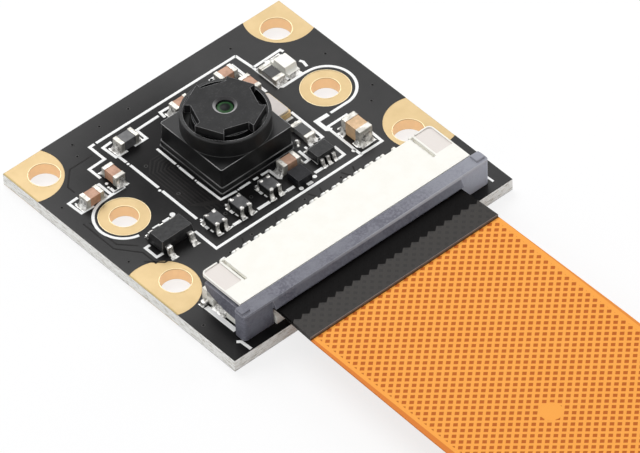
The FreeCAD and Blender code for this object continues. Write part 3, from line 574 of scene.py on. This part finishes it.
trace_paths = []
for lane in range(7):
    shift = lane * 0.26
    trace_paths.append([(-3.0, 6.1 - shift), (-4.3 + shift * 0.55, 6.1 - shift),
                        (-5.25 + shift, 5.15 - shift * 0.35), (-5.25 + shift, 1.1 - shift * 0.5),
                        (-4.5 + shift * 1.1, 0.3 - shift * 0.6), (-4.5 + shift * 1.1, -0.55)])
trace_paths += [
    [(-6.9, 9.2), (-8.9, 9.2), (-10.1, 8.0), (-10.1, 7.3)],
    [(-11.6, 4.6), (-11.6, 1.4), (-10.4, -0.2), (-10.4, -1.6)],
    [(-11.2, 4.4), (-11.2, 1.6), (-10.2, 0.5)],
    [(-10.9, -0.9), (-9.9, -1.9), (-8.6, -1.9)],
    [(-4.6, -3.7), (-4.9, -4.3)], [(-1.6, -3.7), (-1.9, -4.3)], [(2.4, -3.7), (2.1, -4.3)],
    [(5.4, -3.7), (5.1, -4.3)], [(1.4, -3.6), (1.7, -4.2)], [(4.4, -3.6), (4.7, -4.2)],
]
trace_shape = ([], [])
for path in trace_paths:
    strip(trace_shape, path, 0.12, board_top - 0.01, board_top + 0.008)
trace_tone = moulded_finish("masked_copper", (0.014, 0.013, 0.013), (0.02, 0.0185, 0.018), 0.4, 0.065,
                            (7000.0, 1200.0), 0.003, 0.01, (0.026, 0.025, 0.024))
traces = mesh_piece("copper_traces", trace_shape, [trace_tone], smooth=False)
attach(traces, "module")

# Vias. Small plated holes that join the board's copper layers. The mask tents them, so that each is a
# dark dimple with a faint rim.
via_rim = moulded_finish("via_rim", (0.03, 0.03, 0.03), (0.045, 0.043, 0.042), 0.4, 0.15, (9000.0, 2500.0),
                         0.002, 0.01, (0.03, 0.03, 0.03))
via_pit = moulded_finish("via_pit", (0.002, 0.002, 0.002), (0.004, 0.004, 0.004), 0.6, 0.05, (9000.0, 2500.0),
                         0.002, 0.01, (0.01, 0.01, 0.01))
via_places = [(-2.17, 10.96), (-4.74, 11.0), (-7.24, 10.89), (-7.73, 9.8), (-11.66, 6.76), (-11.66, -0.22),
              (-4.9, 5.9), (-5.0, 2.4), (-7.6, -4.6), (-11.85, -8.1), (6.86, 10.64), (11.34, 5.81),
              (11.65, 1.29), (10.57, 0.18), (-1.6, -1.2), (-3.9, -1.2), (-3.9, -3.9), (0.9, -3.85),
              (4.1, -3.95), (-6.1, -4.2)]
via_profile = [(0.15, board_top), (0.12, board_top + 0.01), (0.1, board_top + 0.01),
               (0.075, board_top + 0.003), (0.0, board_top + 0.003)]
via_steps = 20
via_shape = ([], [])
via_finish = []
for x, y in via_places:
    lathe(via_shape, x, y, via_profile, via_steps)
    via_finish += [0] * via_steps * (len(via_profile) - 2) + [1] * via_steps
vias = mesh_piece("tented_vias", via_shape, [via_rim, via_pit], via_finish)
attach(vias, "module")


# Print. White epoxy ink, screened on the mask in lines about 0.2 mm wide and cured. The lines outline
# the parts, with short breaks between them, and dots mark the first pins.
ink = moulded_finish("white_ink", (0.97, 0.98, 0.98), (1.0, 1.0, 0.99), 0.5, 0.5, (8000.0, 1800.0),
                     0.006, 0.01, (0.9, 0.9, 0.9))
ink_low, ink_high = board_top - 0.004, board_top + 0.016


def ring_arc(x, y, radius, start, end, steps=40):
    turns = [math.radians(start + (end - start) * step / steps) for step in range(steps + 1)]
    return [(x + radius * math.cos(turn), y + radius * math.sin(turn)) for turn in turns]


ink_lines = [
    [(6.63, 9.86), (-5.95, 9.92)],
    [(-6.1, 9.92), (-6.53, 9.91), (-6.52, 8.34), (-7.93, 8.3), (-7.92, 7.12)],
    [(-1.1, 9.02), (-3.3, 8.98)],
    [(-3.12, 8.9), (-3.12, 7.92), (-4.21, 7.94)],
    [(-5.11, 9.3), (-5.9, 9.25), (-5.83, 7.95), (-4.84, 7.9)],
    [(-5.66, 7.88), (-5.64, 7.08)],
    [(-5.62, 6.7), (-5.62, 3.74)],
    [(-5.64, 3.32), (-5.66, -0.28)],
    [(-7.35, 5.43), (-8.06, 5.47), (-8.04, 5.95)],
    [(-10.27, 6.76), (-11.08, 6.74), (-11.02, 5.46), (-9.96, 5.42)],
    [(-8.9, 6.8), (-8.38, 6.74), (-8.38, 5.5)],
    ring_arc(-ring_x, ring_y, 2.11, 258, 100) + [(-8.9, 5.4), (-7.24, 5.38)],
    [(-7.55, 1.07), (-6.95, 1.06)],
    [(-9.6, 0.0), (-10.0, 0.0), (-10.0, -1.17), (-9.45, -1.19)],
    [(6.63, 9.86), (6.76, 8.17), (6.76, 5.6), (7.05, 5.36), (9.06, 5.36)]
    + ring_arc(ring_x + 0.1, ring_y, 2.08, 88, -84) + [(7.72, 1.2)],
    [(6.76, 8.17), (9.28, 8.22), (9.35, 7.94)],
    [(7.79, 8.14), (7.79, 5.62)],
    [(9.56, 6.51), (9.68, 6.25), (9.57, 5.73)],
    [(8.5, 0.31), (6.72, 0.31), (6.6, 0.05), (6.56, -3.2)],
    [(8.52, -2.0), (8.48, -3.24), (6.56, -3.22)],
    [(6.6, -3.26), (-6.52, -3.28), (-6.52, -1.08)],
    [(5.8, 3.08), (5.76, -0.18), (5.16, -0.18)],
    [(5.74, -1.42), (5.72, -2.46), (5.16, -2.5)],
    [(4.97, 2.67), (5.55, 2.67)],
    [(3.67, -0.1), (3.66, -1.19), (3.2, -1.23)],
    [(0.96, -0.1), (0.97, -1.1), (1.14, -1.28)],
    [(-0.86, 8.6), (-0.8, 9.2), (0.9, 9.14)],
    [(3.7, 9.25), (5.87, 9.32), (5.87, 5.75)],
]
ink_dashes = [
    [(3.8, -2.42), (3.08, -2.42)], [(2.42, -2.93), (1.95, -2.92)], [(1.2, -2.44), (0.56, -2.42)],
    [(-0.99, -2.41), (-2.05, -2.4)], [(-3.58, -2.42), (-4.25, -2.4)], [(-5.68, -1.2), (-5.7, -1.52)],
    [(-3.47, -1.2), (-3.48, -1.56)], [(-0.83, -1.2), (-0.84, -1.52)], [(4.84, -0.2), (4.54, -0.2)],
    [(4.32, -0.2), (4.14, -0.2)], [(5.56, -0.18), (5.3, -0.18)],
]
ink_hairlines = [
    [(-5.5, -0.45), (-5.5, -0.72)], [(-5.6, -0.82), (-5.72, -1.06)], [(-5.66, -1.7), (-5.66, -2.0)],
    [(-3.44, -0.9), (-3.5, -1.08)], [(-3.44, -1.7), (-3.42, -2.0)], [(-0.76, -0.86), (-0.82, -1.08)],
    [(-0.8, -1.66), (-0.8, -1.96)], [(-5.62, -2.5), (-5.2, -2.52)], [(-4.76, -2.46), (-4.3, -2.45)],
    [(-3.34, -0.55), (-3.36, -1.0)], [(-3.5, -2.5), (-3.06, -2.51)], [(-2.6, -2.51), (-2.2, -2.5)],
    [(-0.65, -0.6), (-0.68, -0.95)], [(-0.93, -2.45), (-0.4, -2.47)], [(0.1, -2.44), (0.54, -2.43)],
    [(3.86, -2.46), (4.22, -2.48)], [(3.85, -1.1), (3.8, -1.95)], [(-10.74, 6.45), (-10.7, 5.7)],
    [(-8.45, 1.08), (-7.85, 1.07)],
]
ink_foot_lines = [
    [(-3.26, 6.66), (-3.29, 4.66)], [(-3.3, 4.28), (-3.32, 2.78)],
    [(-3.33, 2.4), (-3.27, 0.0), (-1.95, -0.1)], [(-1.66, -0.08), (-0.72, -0.08)],
    [(-0.42, -0.08), (-0.02, -0.1)], [(0.25, -0.1), (0.98, -0.12)],
]
ink_bars = [
    ([(-10.62, -6.95), (-10.6, -9.95)], 0.4), ([(-11.25, -10.75), (-11.0, -10.95), (-10.95, -11.9)], 0.26),
    ([(11.35, -10.2), (11.4, -11.3)], 0.18),
]
ink_by_width = ((ink_lines, 0.23), (ink_dashes, 0.27), (ink_foot_lines, 0.2), (ink_hairlines, 0.14))
ink_paths = [(path, width) for paths, width in ink_by_width for path in paths] + ink_bars
ink_shape = ([], [])
for path, width in ink_paths:
    strip(ink_shape, path, width, ink_low, ink_high)
ink_corner = [(7.5, 1.2), (6.46, 1.22), (6.46, 0.2), (6.72, -0.1)]
strip(ink_shape, ink_corner, 0.36, ink_low, ink_high - 0.002)
pin_dots = [(-6.61, 1.16, 0.2), (2.84, -2.68, 0.16), (1.42, -2.92, 0.17), (-5.66, 6.88, 0.11),
            (-5.74, 3.48, 0.11), (-7.96, 6.44, 0.12), (-8.1, 6.08, 0.1), (-3.3, 4.42, 0.08),
            (-3.33, 2.54, 0.08), (-1.78, -0.1, 0.08), (6.44, -2.62, 0.16), (6.98, -2.62, 0.12),
            (3.87, 9.18, 0.14)]
for x, y, radius in pin_dots:
    lathe(ink_shape, x, y, [(radius, ink_high), (0.0, ink_high)], steps=24)
printed_lines = mesh_piece("printed_lines", ink_shape, [ink], smooth=False)
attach(printed_lines, "module")


# Solder and tin. Paste screened on the pads and reflowed: it wets each end cap and lead, and sets as
# concave fillets. The leads, terminals, contacts and nails are tinned, bright and a little lumpy.
def bright_tin():
    material, tree, shader, where = start_finish("bright_tin", (0.6, 0.58, 0.55), 0.3, 0.65)
    texture, rounding = skin(tree, where, 5200.0, 3000.0, 0.04)
    tree.links.new(blend_colour(tree, texture["Tone"], (0.25, 0.24, 0.225), (0.99, 0.98, 0.95)),
                   shader.inputs["Base Color"])
    tree.links.new(ramp(tree, texture["Height"], 0.35, 0.65, 0.2, 0.45), shader.inputs["Roughness"])
    relief(tree, shader, texture["Height"], 0.03, rounding["Normal"])
    return material


tin = bright_tin()
solder_random = random.Random(7)


def fillet(shape, x, y, turn, width, reach, height, columns=12, rows=8):
    verts, faces = shape
    start = len(verts)
    out = Vector((math.cos(math.radians(turn)), math.sin(math.radians(turn))))
    side = Vector((-out.y, out.x))
    lump = [solder_random.uniform(-0.06, 0.06) for _ in range(columns + 1)]
    for row in range(rows + 1):
        share = row / rows
        for column in range(columns + 1):
            across = -1 + 2 * column / columns
            crown = 1 - abs(across) ** 5
            spread = width / 2 * (1 + 0.18 * share)
            place = Vector((x, y)) + out * reach * share * (1 + lump[column]) + side * across * spread
            lift = height * (1 - share) ** 2.1 * crown * (1 + lump[column])
            verts.append((place.x * MM, place.y * MM, (board_top + 0.003 + max(0.0, lift)) * MM))
    for row in range(rows):
        for column in range(columns):
            here = start + row * (columns + 1) + column
            faces.append((here, here + columns + 1, here + columns + 2, here + 1))


solder_shape = ([], [])
# Each chip's centre and turn, then the length, width and height that its solder takes.
chips = {
    "capacitor_1": (-7.27, 6.5, 90, 1.55, 0.85, 0.62),
    "capacitor_2": (-9.75, 5.85, 0, 1.55, 0.85, 0.62),
    "capacitor_3": (0.45, 8.42, 0, 1.55, 0.85, 0.62),
    "capacitor_4": (4.62, 8.55, 0, 1.55, 0.85, 0.62),
    "capacitor_5": (5.2, 6.7, 90, 1.55, 0.85, 0.62),
    "capacitor_6": (2.15, -0.78, 0, 1.55, 0.85, 0.62),
    "reservoir_capacitor": (7.65, -1.6, 90, 1.95, 1.15, 0.9),
    "lamp_resistor": (7.17, 6.67, 90, 1.85, 0.92, 0.36),
    "bus_resistor": (5.0, 0.98, 90, 1.75, 0.85, 0.36),
    "ferrite_bead": (-4.52, 8.4, 0, 1.65, 0.92, 0.6),
    "indicator_lamp": (8.42, 6.7, 90, 1.95, 1.02, 0.24),
}
for x, y, turn, length, width, height in chips.values():
    for flip in (0, 180):
        angle = math.radians(turn + flip)
        fillet(solder_shape, x + math.cos(angle) * length / 2, y + math.sin(angle) * length / 2,
               turn + flip, width * 0.98, 0.34, height)
fillet(solder_shape, 7.07, -0.9, 180, 0.5, 0.34, 0.5)
fillet(solder_shape, 7.07, -2.3, 180, 0.5, 0.26, 0.4)
# The regulator's five leads, the bus driver's six, and the chokes' four terminals each.
regulator_xs = (-9.15, -8.2, -7.25)
for x in (regulator_xs[0], regulator_xs[-1]):
    fillet(solder_shape, x, -1.92, -90, 0.5, 0.25, 0.14)
for x in regulator_xs:
    fillet(solder_shape, x, 0.75, 90, 0.42, 0.05, 0.1)
for x in (4.0, 4.5, 5.0):
    fillet(solder_shape, x, -2.38, -90, 0.3, 0.2, 0.1)
    fillet(solder_shape, x, -0.58, 90, 0.3, 0.2, 0.1)
choke_xs = (-5.11, -2.91, -0.27)
choke_top = 1.74
for x in choke_xs:
    for side_x in (-0.36, 0.36):
        fillet(solder_shape, x + side_x, -2.27, -90, 0.36, 0.3, 0.34)
        fillet(solder_shape, x + side_x, -0.89, 90, 0.34, 0.28, 0.3)
        fillet(solder_shape, x + side_x * 1.34, -0.98, 90 - side_x * 250, 0.3, 0.22, 0.3)
# The connector's contact tails, and the nails at its ends.
contact_count = 15
contact_xs = [connector_x + index - (contact_count - 1) / 2 for index in range(contact_count)]
for x in contact_xs:
    for side in (-1, 1):
        fillet(solder_shape, x + side * 0.15, -5.05, 90 - side * 90, 0.9, 0.1, 0.1)
for turn, side in ((0, 1), (180, -1)):
    fillet(solder_shape, connector_x + side * 10.78, -6.65, turn, 0.44, 0.16, 0.2)
    fillet(solder_shape, connector_x + side * 10.2, -7.88, turn, 1.3, 0.42, 0.42)


def dome(shape, x, y, z, radius, lift, rows=5):
    turns = [math.pi / 2 * row / rows for row in range(rows)]
    profile = [(radius * math.cos(turn), z + lift * math.sin(turn)) for turn in turns]
    lathe(shape, x, y, profile + [(0.0, z + lift)], steps=16)


for x in choke_xs:
    for side_x in (-1, 1):
        dome(solder_shape, x + side_x * 0.31, -1.08, choke_top - 0.01, 0.15, 0.06)
        dome(solder_shape, x + side_x * 0.3, -2.12, choke_top - 0.03, 0.17, 0.1)
        strip(solder_shape, [(x + side_x * 0.36, -2.22), (x + side_x * 0.46, -2.5)], 0.26,
              board_top - 0.01, board_top + 0.14)
dome(solder_shape, 4.12, 0.56, board_top - 0.01, 0.24, 0.28)
dome(solder_shape, 3.95, 0.28, board_top - 0.01, 0.14, 0.14)
tail_shape = ([], [])
for x in contact_xs:
    for offset in (-0.06, 0.06):
        dome(tail_shape, x + offset, -4.42, board_top - 0.02, 0.18, 0.21)
tail_tin = moulded_finish("fresh_solder", (0.86, 0.86, 0.84), (0.97, 0.97, 0.95), 0.35, 0.5, (5200.0, 2200.0),
                          0.01, 0.03, (0.97, 0.97, 0.95), metallic=0.2)
tail_joints = mesh_piece("tail_joints", tail_shape, [tail_tin])
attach(tail_joints, "module")
solder = mesh_piece("solder_joints", solder_shape, [tin])
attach(solder, "module")
dress(["regulator_leads", "bus_driver_leads", "choke_terminals"], tin)
dress(["connector_contacts", "connector_nails"], tin)

# Chip capacitors, resistors and bead. Fired ceramic blocks, brown, black or grey, with caps dipped on
# each end, fired and tinned. The solder on the caps holds them, and the resistors have a black glaze.
# The group masks the caps: what lies further than half a chip's bare length from its middle.
end_caps, caps_in, caps_out = group_tree(
    "end_cap_mask",
    [("Vector", "NodeSocketVector", None), ("Centre", "NodeSocketVector", None),
     ("Axis", "NodeSocketVector", None), ("Half", "NodeSocketFloat", 0.4 * MM),
     ("Ripple", "NodeSocketFloat", 0.03 * MM)],
    [("Metal", "NodeSocketFloat")])
caps_from = vector_maths(end_caps, "SUBTRACT", caps_in.outputs["Vector"], caps_in.outputs["Centre"])
caps_along = vector_maths(end_caps, "DOT_PRODUCT", caps_from, caps_in.outputs["Axis"])
caps_wave = maths(end_caps, "SUBTRACT", noise(end_caps, caps_in.outputs["Vector"], 2600.0), 0.5)
caps_far = maths(end_caps, "ADD", maths(end_caps, "ABSOLUTE", caps_along),
                 maths(end_caps, "MULTIPLY", caps_wave, caps_in.outputs["Ripple"]))
caps_edge = maths(end_caps, "ADD", caps_in.outputs["Half"], 0.01 * MM)
end_caps.links.new(ramp(end_caps, caps_far, caps_in.outputs["Half"], caps_edge), caps_out.inputs["Metal"])


def capped_chip(name, half, dark, light, glaze_low=None):
    material, tree, shader, where = start_finish(name + "_finish", dark, 0.45)
    x, y, turn = chips[name][:3]
    axis = (math.cos(math.radians(turn)), math.sin(math.radians(turn)), 0.0)
    metal = place_group(tree, end_caps, Vector=where, Centre=(x * MM, y * MM, 0.0), Axis=axis, Half=half * MM,
                        Ripple=0.05 * MM)["Metal"]
    texture, rounding = skin(tree, where, 6500.0, 1900.0, 0.05)
    ceramic = blend_colour(tree, texture["Tone"], dark, light)
    if glaze_low:
        glaze = ramp(tree, split(tree, where)["Z"], glaze_low * MM, (glaze_low + 0.02) * MM)
        ceramic = blend_colour(tree, glaze, (0.3, 0.3, 0.3), ceramic)
    tinned = blend_colour(tree, texture["Tone"], (0.34, 0.33, 0.3), (0.62, 0.6, 0.55))
    tree.links.new(blend_colour(tree, metal, ceramic, tinned), shader.inputs["Base Color"])
    tree.links.new(ramp(tree, metal, 0.0, 1.0, 0.0, 0.45), shader.inputs["Metallic"])
    tree.links.new(ramp(tree, metal, 0.0, 1.0, 0.45, 0.3), shader.inputs["Roughness"])
    relief(tree, shader, texture["Height"], 0.015, rounding["Normal"])
    dress([name], material)


for number in range(1, 6):
    capped_chip("capacitor_" + str(number), 0.42, (0.44, 0.23, 0.14), (0.62, 0.35, 0.23))
capped_chip("capacitor_6", 0.42, (0.46, 0.26, 0.17), (0.62, 0.38, 0.26))
capped_chip("reservoir_capacitor", 0.5, (0.62, 0.4, 0.21), (0.8, 0.54, 0.31))
glaze_dark, glaze_light = (0.012, 0.012, 0.013), (0.02, 0.02, 0.021)
capped_chip("lamp_resistor", 0.5, glaze_dark, glaze_light, glaze_low=1.4)
capped_chip("bus_resistor", 0.52, glaze_dark, glaze_light, glaze_low=1.4)
capped_chip("ferrite_bead", 0.48, (0.085, 0.085, 0.088), (0.14, 0.14, 0.143))

# Moulded packages. Epoxy compound filled with silica, moulded round the regulator, the bus driver and
# the small square buffer. It is dark grey and matte with soft mould edges, which carry a painted highlight,
# and the leads hold it.
epoxy = moulded_finish("moulding_compound", (0.01, 0.01, 0.011), (0.028, 0.028, 0.029), 0.5, 0.24,
                       (7000.0, 3200.0), 0.016, 0.06, (0.3, 0.3, 0.3))
dress(["regulator", "bus_driver"], epoxy)
buffer_epoxy = moulded_finish("buffer_compound", (0.006, 0.006, 0.008), (0.014, 0.014, 0.017), 0.5, 0.17,
                              (7000.0, 3200.0), 0.012, 0.05, (0.12, 0.12, 0.13))
dress(["clock_buffer"], buffer_epoxy)


# Line chokes. Small pressed ferrite blocks, each wound with two wires under its top, with a terminal at
# each corner. The tops are dark grey with a painted highlight on their edges, and the lower sides are painted
# near black as shade.
def choke_ferrite():
    material, tree, shader, where = start_finish("choke_ferrite", (0.08, 0.08, 0.08), 0.5, specular=0.08)
    texture, rounding = skin(tree, where, 6000.0, 1600.0, 0.05)
    # Painted shade: below the top the sides are coloured near black and lose their coat.
    low = ramp(tree, split(tree, where)["Z"], 1.68 * MM, 1.6 * MM)
    body = blend_colour(tree, texture["Tone"], (0.06, 0.06, 0.063), (0.1, 0.1, 0.103))
    body = blend_colour(tree, rounding["Edge"], body, (0.15, 0.15, 0.15))
    tree.links.new(blend_colour(tree, low, body, (0.012, 0.012, 0.012)), shader.inputs["Base Color"])
    tree.links.new(ramp(tree, low, 0.0, 1.0, 0.54, 0.0), shader.inputs["Coat Weight"])
    shader.inputs["Coat Roughness"].default_value = 0.5
    relief(tree, shader, texture["Height"], 0.01, rounding["Normal"])
    return material


ferrite = choke_ferrite()
dress(["line_choke_1", "line_choke_2", "line_choke_3"], ferrite)

# Indicator lamp. A light-emitting die on a pale carrier, under a block of cast clear resin. The resin
# is slightly yellow, and the lamp is soldered at both ends.
resin = moulded_finish("lamp_resin", (0.93, 0.93, 0.84), (0.98, 0.975, 0.93), 0.22, 0.5, (3000.0, 1100.0),
                       0.004, 0.06, (0.93, 0.92, 0.86))
dress(["indicator_lamp"], resin)

# Crystal. A fired ceramic tray that holds the quartz blank, with a plated metal lid seam-welded on its
# rim. The weld leaves a gold-coloured edge round the pale lid.
tray = moulded_finish("crystal_ceramic", (0.62, 0.42, 0.18), (0.78, 0.56, 0.28), 0.5, 0.5, (5000.0, 1300.0),
                      0.006, 0.04, (0.85, 0.68, 0.36))
dress(["crystal_tray"], tray)
lid = moulded_finish("crystal_lid_plate", (0.56, 0.52, 0.49), (0.63, 0.58, 0.55), 0.45, 0.3, (6000.0, 900.0),
                     0.004, 0.09, (1.0, 0.82, 0.42), metallic=0.1)
dress(["crystal_lid"], lid)

# Lens holder and barrel. Black glass-filled mouldings, spark-eroded to a fine matte grain. The holder is
# glued to the board over the sensor. The barrel is screwed into its collar to focus, then fixed. Both
# have rounded edges with painted highlights, brightest at the holder's corners and round the barrel's top,
# and the barrel's mouth is painted lighter towards its near side.
def black_moulding(name, dark, light, roughness, sheen, radius, edge_tone, dim_highlight_tone):
    material, tree, shader, where = start_finish(name, dark, roughness, 0.0, sheen)
    texture, rounding = skin(tree, where, 7000.0, 1300.0, radius)
    place = place_group(tree, from_axis, Vector=where, Axis=lens_axis)
    body = blend_colour(tree, texture["Tone"], dark, light)
    speck = maths(tree, "MULTIPLY", ramp(tree, texture["Height"], 0.54, 0.64),
                  ramp(tree, place["Level"], 4.9 * MM, 5.0 * MM, 0.1, 0.6))
    body = blend_colour(tree, speck, body, (0.04, 0.04, 0.041))
    # Painted highlights on the edges: bright at the holder's corners and round the barrel's top, dim
    # elsewhere.
    corner = maths(tree, "MULTIPLY", ramp(tree, place["Distance"], 3.22 * MM, 3.75 * MM),
                   ramp(tree, place["Level"], 3.1 * MM, 3.2 * MM, 0.3, 1.0))
    high = ramp(tree, place["Level"], 4.3 * MM, 4.35 * MM)
    highlight_share = maths(tree, "MAXIMUM", corner, maths(tree, "MULTIPLY", high, 0.75))
    edge = blend_colour(tree, highlight_share, dim_highlight_tone, edge_tone)
    body = blend_colour(tree, rounding["Edge"], body, edge)
    # The barrel's mouth is painted lighter, most on its near side, as light in its countersink.
    mouth = maths(tree, "MULTIPLY", ramp(tree, place["Distance"], 0.86 * MM, 0.83 * MM),
                  ramp(tree, place["Level"], 4.94 * MM, 4.96 * MM))
    at = split(tree, where)
    lit_near_side = ramp(tree, maths(tree, "ADD", at["X"], at["Y"]), 4.7 * MM, 2.8 * MM)
    mouth_light = blend_colour(tree, lit_near_side, (0.05, 0.048, 0.05), (0.5, 0.49, 0.5))
    tree.links.new(blend_colour(tree, mouth, body, mouth_light), shader.inputs["Base Color"])
    relief(tree, shader, texture["Height"], 0.01, rounding["Normal"])
    dress([name], material)
    return material


lens_black = black_moulding("lens_holder", (0.005, 0.005, 0.0055), (0.0085, 0.0085, 0.009), 0.42, 0.28, 0.09,
                            (0.9, 0.9, 0.91), (0.09, 0.09, 0.09))
black_moulding("lens_barrel", (0.0075, 0.0075, 0.0082), (0.0145, 0.0145, 0.0152), 0.48, 0.18, 0.075,
               (0.5, 0.5, 0.51), (0.15, 0.15, 0.15))
dress(["lens_spacers"], lens_black)


# Lens elements, filter and sensor. Moulded plastic lenses and a glass filter with a green coating
# against reflections, and below them a chip of polished silicon, glued on the board.
def lens_coating():
    material, tree, shader, where = start_finish("coated_glass", (0.02, 0.1, 0.035), 0.3, specular=0.08)
    glass_out = place_group(tree, from_axis, Vector=where, Axis=lens_axis)["Distance"]
    # The coating's green reflection is painted as a ring round a dark middle.
    share = maths(tree, "MULTIPLY", ramp(tree, glass_out, 0.3 * MM, 0.46 * MM),
                  ramp(tree, glass_out, 0.62 * MM, 0.52 * MM))
    tone = place_group(tree, grain, Vector=where, Fine_Scale=4000.0, Broad_Scale=1600.0)["Tone"]
    green_reflection_ring = blend_colour(tree, tone, (0.02, 0.075, 0.025), (0.05, 0.12, 0.05))
    tree.links.new(blend_colour(tree, share, (0.003, 0.005, 0.004), green_reflection_ring), shader.inputs["Base Color"])
    return material


coated_glass = lens_coating()
dress(["front_lens", "middle_lens", "rear_lens", "infrared_filter"], coated_glass)
silicon = moulded_finish("sensor_silicon", (0.05, 0.055, 0.07), (0.09, 0.08, 0.11), 0.12, 0.6,
                         (9000.0, 2600.0), 0.001, 0.02, (0.2, 0.2, 0.22), metallic=0.6)
dress(["image_sensor"], silicon)


# Connector housing. One moulding of white liquid-crystal polymer, held on the board by its nails and
# contacts. The platforms at its rear corners are coloured greyer.
def housing_polymer():
    material, tree, shader, where = start_finish("housing_polymer", (0.9, 0.88, 0.82), 0.5)
    texture, rounding = skin(tree, where, 5500.0, 1000.0, 0.06)
    at = split(tree, where)
    housing_out = maths(tree, "ABSOLUTE", maths(tree, "SUBTRACT", at["X"], connector_x * MM))
    ear_side = ramp(tree, housing_out, 8.74 * MM, 8.76 * MM)
    ear_low = ramp(tree, at["Z"], 3.29 * MM, 3.28 * MM)
    ear_high = ramp(tree, at["Z"], 3.2 * MM, 3.22 * MM)
    ear_mask = maths(tree, "MULTIPLY", ear_side, maths(tree, "MULTIPLY", ear_low, ear_high))
    tone = blend_colour(tree, texture["Tone"], (0.95, 0.935, 0.87), (0.97, 0.96, 0.905))
    tree.links.new(blend_colour(tree, ear_mask, tone, (0.81, 0.755, 0.715)), shader.inputs["Base Color"])
    relief(tree, shader, texture["Height"], 0.008, rounding["Normal"])
    return material


housing_finish = housing_polymer()
dress(["connector_housing"], housing_finish)

# Housing teeth. Small teeth of the same white moulding, which stand out of the housing's rear wall over
# the contacts, one at each.
tooth_outline = [(-0.15, 2.95), (0.15, 2.95), (0.15, 3.24), (0.1, 3.28), (-0.1, 3.28), (-0.15, 3.24)]
tooth_ends = ((-6.3, 0.0), (-5.92, 0.03))
corners = len(tooth_outline)
tooth_verts = []
tooth_faces = []
for x in contact_xs:
    start = len(tooth_verts)
    for y, taper in tooth_ends:
        for side_x, z in tooth_outline:
            tooth_verts.append(((x + side_x * (1 - taper)) * MM, y * MM, (z - taper) * MM))
    tooth_faces.append(tuple(range(start, start + corners)))
    tooth_faces.append(tuple(reversed(range(start + corners, start + 2 * corners))))
    for step in range(corners):
        after = (step + 1) % corners
        tooth_faces.append((start + step, start + corners + step, start + corners + after, start + after))
teeth = mesh_piece("housing_teeth", (tooth_verts, tooth_faces), [housing_finish], smooth=False)
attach(teeth, "module")


# Latch. One moulding of dark grey glass-filled nylon, with the mottled skin of such a part. Its arms
# slide in the housing's guides, and pushing it home presses the cable on the contacts. It is painted
# lighter towards the right and on the right end block, with painted shade on the front face and painted
# highlights on the edges and along the top front edge.
def latch_nylon():
    material, tree, shader, where = start_finish("latch_nylon", (0.15, 0.15, 0.19), 0.55)
    texture, rounding = skin(tree, where, 5200.0, 1500.0, 0.07)
    at = split(tree, where)
    speck = ramp(tree, texture["Height"], 0.4, 0.62)
    flow = ramp(tree, noise(tree, where, 420.0, 4.0, 0.6), 0.35, 0.7)
    tone = blend_colour(tree, speck, (0.088, 0.088, 0.118), (0.167, 0.167, 0.205))
    tone = blend_colour(tree, flow, tone, (0.176, 0.18, 0.214))
    # Painted light: lighter towards the right, and on the right end block.
    east_light = ramp(tree, at["X"], 2.0 * MM, 11.0 * MM)
    end = maths(tree, "MULTIPLY", ramp(tree, at["X"], 8.4 * MM, 8.6 * MM, 0.0, 0.6),
                ramp(tree, at["Z"], 3.26 * MM, 3.2 * MM))
    pale = maths(tree, "ADD", maths(tree, "MULTIPLY", east_light, 0.45), end)
    tone = blend_colour(tree, pale, tone, (0.42, 0.435, 0.5))
    # Painted shade on the front face, left of the right end block.
    front = maths(tree, "MULTIPLY", ramp(tree, at["Y"], -11.12 * MM, -11.2 * MM),
                  ramp(tree, at["X"], 8.4 * MM, 8.6 * MM, 0.3, 0.0))
    tone = blend_colour(tree, front, tone, (0.02, 0.02, 0.03))
    # A painted highlight on the edges.
    tone = blend_colour(tree, rounding["Edge"], tone, (0.4, 0.4, 0.44))
    # A brighter painted highlight along the top front edge, strongest at the right.
    rise = maths(tree, "SUBTRACT", at["Z"], at["Y"])
    top_edge_highlight = maths(tree, "MULTIPLY", ramp(tree, rise, 14.41 * MM, 14.44 * MM),
                  ramp(tree, at["X"], -7.0 * MM, 5.0 * MM, 0.1, 0.7))
    tree.links.new(blend_colour(tree, top_edge_highlight, tone, (0.5, 0.5, 0.54)), shader.inputs["Base Color"])
    relief(tree, shader, texture["Height"], 0.03, rounding["Normal"])
    return material


latch_finish = latch_nylon()
dress(["connector_latch"], latch_finish)
